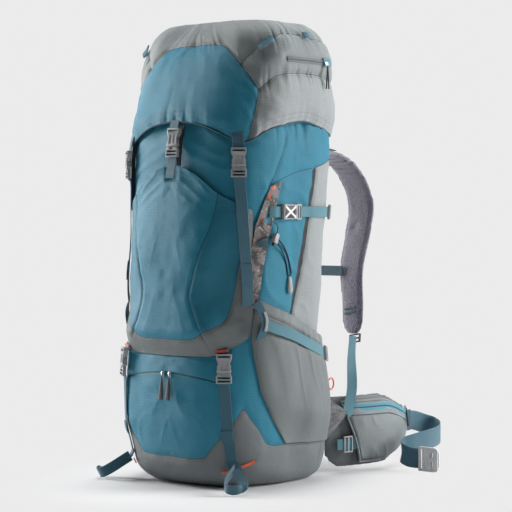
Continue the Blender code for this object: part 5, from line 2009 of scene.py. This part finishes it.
def make_links(web_dark, web_pale, grey, printed, orange, dark_plastic):
    """What ties the shoulder straps to the bag, the sternum strap, the fins, loops and cord holders."""
    ladder = ladder_mould()
    for name, side in SIDES:
        body = f"shoulder_{name}"
        route = [
            (0.0870, 0.2735, 0.2460), (0.0885, 0.2700, 0.2390), (0.1060, 0.2420, 0.2060),
            (0.1400, 0.1970, 0.1560), (0.1585, 0.1600, 0.1190), (0.1602, 0.1500, 0.1120),
        ]
        points = flipped(route, side)
        widths = []
        for k in range(len(route)):
            w = Vector((1, -0.35, 0)).lerp(Vector((0.2, 1, 0.35)), float(ease(k / (len(route) - 1))))
            widths.append(Vector((side * w.x, w.y, w.z)))
        piece = band(f"shoulder_tension_webbing_{name}", points, widths, 0.0190, 0.0016, web_pale, step=0.003)
        tie(piece, "webbing", "bag", body, points[-2], points[1], f"shoulder_webbing_{name}")

        matrix = basis((0.0875, 0.2765, 0.2420), (0.15, -0.30, -1), (0.10, 1, -0.3))
        mould_on(f"strap_ladder_{name}", ladder, matrix, dark_plastic, side, body)

        # the load lifter from the bag's top edge to the strap's crest
        lifter = [
            (0.066, 0.1290, 0.6300), (0.065, 0.1500, 0.6240), (0.064, 0.1850, 0.6110),
            (0.0645, 0.2150, 0.6068), (0.0655, 0.2350, 0.6040),
        ]
        points = flipped(lifter, side)
        piece = band(f"load_lifter_{name}", points, ACROSS, 0.0190, 0.0016, web_dark, step=0.003)
        tie(piece, "webbing", "bag", body, points[0], points[3])
        matrix = basis((0.0645, 0.1555, 0.6232), (0, 0.97, -0.28), (0, 0.28, 0.96))
        mould_on(f"lifter_ladder_{name}", ladder, matrix, grey, side, "bag")

        # the strap's root on the bag
        root = flipped(
            (
                (0.055, 0.1325, 0.545), (0.055, 0.1340, 0.560), (0.0555, 0.1360, 0.572),
                (0.056, 0.1460, 0.5835),
            ),
            side,
        )
        piece = band(f"strap_root_{name}", root, ACROSS, 0.056, 0.0030, printed, step=0.003)
        tie(piece, "grey_fabric", "bag", body, root[1], root[3])

        # the fin between the bag's lower back corner and the webbing
        s = np.linspace(0, 1, 14)[:, None]
        r = np.linspace(0, 1, 14)[None, :]
        high, low, tip = np.array(((0.1400, 0.1000, 0.152), (0.1470, 0.0920, 0.058), (0.1620, 0.1560, 0.114)))
        edge = high + (low - high) * r[..., None]
        grid = edge + (tip - edge) * s[..., None] * 0.97
        grid[..., 0] += 0.0030 * np.sin(np.pi * s) * np.sin(np.pi * r)
        grid[..., 0] += 0.0010 * noise(s * 0.06, r * 0.09, 0.02, 0.02, 131)
        grid = grid * (side, 1, 1)
        cloth = np.stack([s * 0.05 + 0 * r, r * 0.09 + 0 * s, 0 * s * r], -1)
        if side < 0:
            grid, cloth = grid[::-1], cloth[::-1]
        attach(
            sheet_solid(f"hip_fin_{name}", grid[:, ::-1], 0.0016, printed, {"cloth": cloth[:, ::-1]}),
            "bag", "grey_fabric",
        )

        loop = []
        for k in range(13):
            a = math.pi * (k / 12 * 1.5 - 0.75)
            loop.append((side * 0.1612, 0.0980 + 0.0080 * math.cos(a) + 0.004, 0.172 + 0.0105 * math.sin(a)))
        attach(tube(f"cord_loop_{name}", loop, 0.0014, orange), "bag", "cord")

        # the tab and short cord that hold the cord lock
        top = flipped(HOLD_ROUTE, side)
        holder = tube(f"lock_cord_{name}", top, CORD_RADIUS, web_dark)
        attach(holder, "bag", "cord")
        strap(
            f"lock_tab_{name}", "bag",
            [
                (-29.5, 0.4290, 0.0045), (-27.5, 0.4320, 0.0068), (-25.0, 0.4350, 0.0080),
                (-22.6, 0.4372, 0.0082),
            ],
            side, web_dark, width=0.0120,
        )
        strap(
            f"cord_tab_{name}", "bag",
            [(-26.2, 0.4730, 0.0042), (-25.0, 0.4715, 0.0058), (-23.6, 0.4700, 0.0050)], side, web_pale,
            width=0.0080,
        )

    points = [Vector((x, 0.2651, 0.372)) for x in np.linspace(0.0680, -0.017, 7)]
    ribbon("sternum_webbing", "sternum_fork", points, UP, 0.0195, 0.0016, web_dark, "sternum_strap")
    chest = basis((-0.018, 0.2640, 0.372), (-1, 0, 0), (0, 1, 0))
    mould_on(
        "sternum_socket_moulding", socket_mould(), chest, grey, 1, "shoulder_left", "sternum_buckle_socket"
    )
    mould_on("sternum_fork_moulding", fork_mould(), chest, grey, 1, "sternum_fork", "sternum_buckle_fork")
    left = [Vector((x, 0.2651, 0.372)) for x in np.linspace(-0.049, -0.0640, 4)]
    ribbon("sternum_webbing_left", "shoulder_left", left, UP, 0.0195, 0.0016, web_dark)


def main():
    """Makes the materials, then every piece, and blows up the padding in one simulation."""
    make_camera()
    black = plastic("cord_black", BLACK, 0.6)
    moulded_grey = plastic("buckle_grey", PLASTIC)
    moulded_bright = plastic("buckle_bright", srgb(214, 212, 208), 0.28)
    moulded_dark = plastic("button_dark", PLASTIC_DARK)
    make_cords(black, moulded_grey, moulded_dark)
    make_studio()
    web = webbing("webbing_slate", WEBBING)
    web_pale = webbing("webbing_pale", WEBBING_PALE)
    web_dark = webbing("webbing_dark", srgb(50, 84, 96))
    orange = webbing("thread_orange", ORANGE)
    # dark webbing for the strips that paint the shadow behind the lid and pocket straps
    painted_shadow_web = webbing("webbing_painted_shadow", srgb(20, 30, 38))
    piping = webbing("piping_dark", srgb(30, 66, 82))
    teal_plain = fabric("collar_teal", TEAL)
    wing_cloth = fabric("wing_cloth", GREY, [], ["m_edge"], ["m_edge"], coarse=True)
    dark_cloth = fabric("wing_dark_cloth", srgb(102, 106, 108), [], ripstop=False)
    foam = spacer_mesh("foam_mesh", MESH_GREY)
    silver = metal("zip_silver", SILVER)
    pull_grey = webbing("pull_grey", srgb(66, 68, 72))
    make_shell()
    make_strips()
    make_collar(teal_plain)
    make_lid(piping, webbing("tab_teal", srgb(34, 92, 114)))
    make_front_pocket()
    make_side_pockets()
    make_buckles(moulded_grey, moulded_bright, moulded_dark)
    make_bag_straps(web, web_pale, moulded_grey, orange, painted_shadow_web)
    strap_pads, finish_straps = make_shoulder_straps(foam, dark_cloth, web_dark)
    back_pads, finish_back = make_back_pads(foam)
    tape_teal = zip_tape("tape_teal", srgb(92, 158, 178))
    pale_piping = webbing("piping_pale", srgb(150, 160, 162))
    hip_grey = plastic("hip_buckle_grey", srgb(196, 197, 198), 0.30)
    wing_pads, finish_wings = make_hip_belt(
        wing_cloth, foam, web, web_pale, tape_teal, piping, pale_piping,
        moulded_grey, hip_grey, dark_cloth, silver, black,
    )
    stuffed(strap_pads + back_pads + wing_pads)
    finish_straps()
    finish_back()
    finish_wings()
    fin_print = patterned("fin_print", srgb(112, 114, 115), 0.66, 1.25, False)
    make_links(web_dark, web_pale, moulded_grey, fin_print, orange, moulded_dark)
    for name, side in SIDES:
        place = at(-87.0, 0.2030, 0.0004)
        make_slider(
            f"base_zip_{name}", f"base_zip_{name}", place, facing(-87.0, 0.203), silver, pull_grey, 0.044,
            side, f"base_zip_slider_{name}",
        )
    tape = [at(t, 0.756, 0.0012, 1, "lid") for t in np.linspace(-9, 34, 16)]
    ribbon("lid_zip_tape", "lid", tape, UP, 0.010, 0.0016, zip_tape("tape_grey", srgb(116, 122, 124), 0.62))
    end = [at(t, 0.757, 0.0030, 1, "lid") for t in np.linspace(24.5, 34, 5)]
    ribbon("lid_zip_end", "lid", end, UP, 0.014, 0.0016, web_pale)
    make_slider(
        "lid_zip", "lid_zip", (0.1705, 0.072, 0.756), (1, 0, 0), silver, black, 0.042, 1, "lid_zip_slider",
        pulls=2,
    )
    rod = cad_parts["internal_frame"]
    rod.data.materials.clear()
    rod.data.materials.append(metal("rod_aluminium", srgb(180, 182, 186), 0.4))


main()
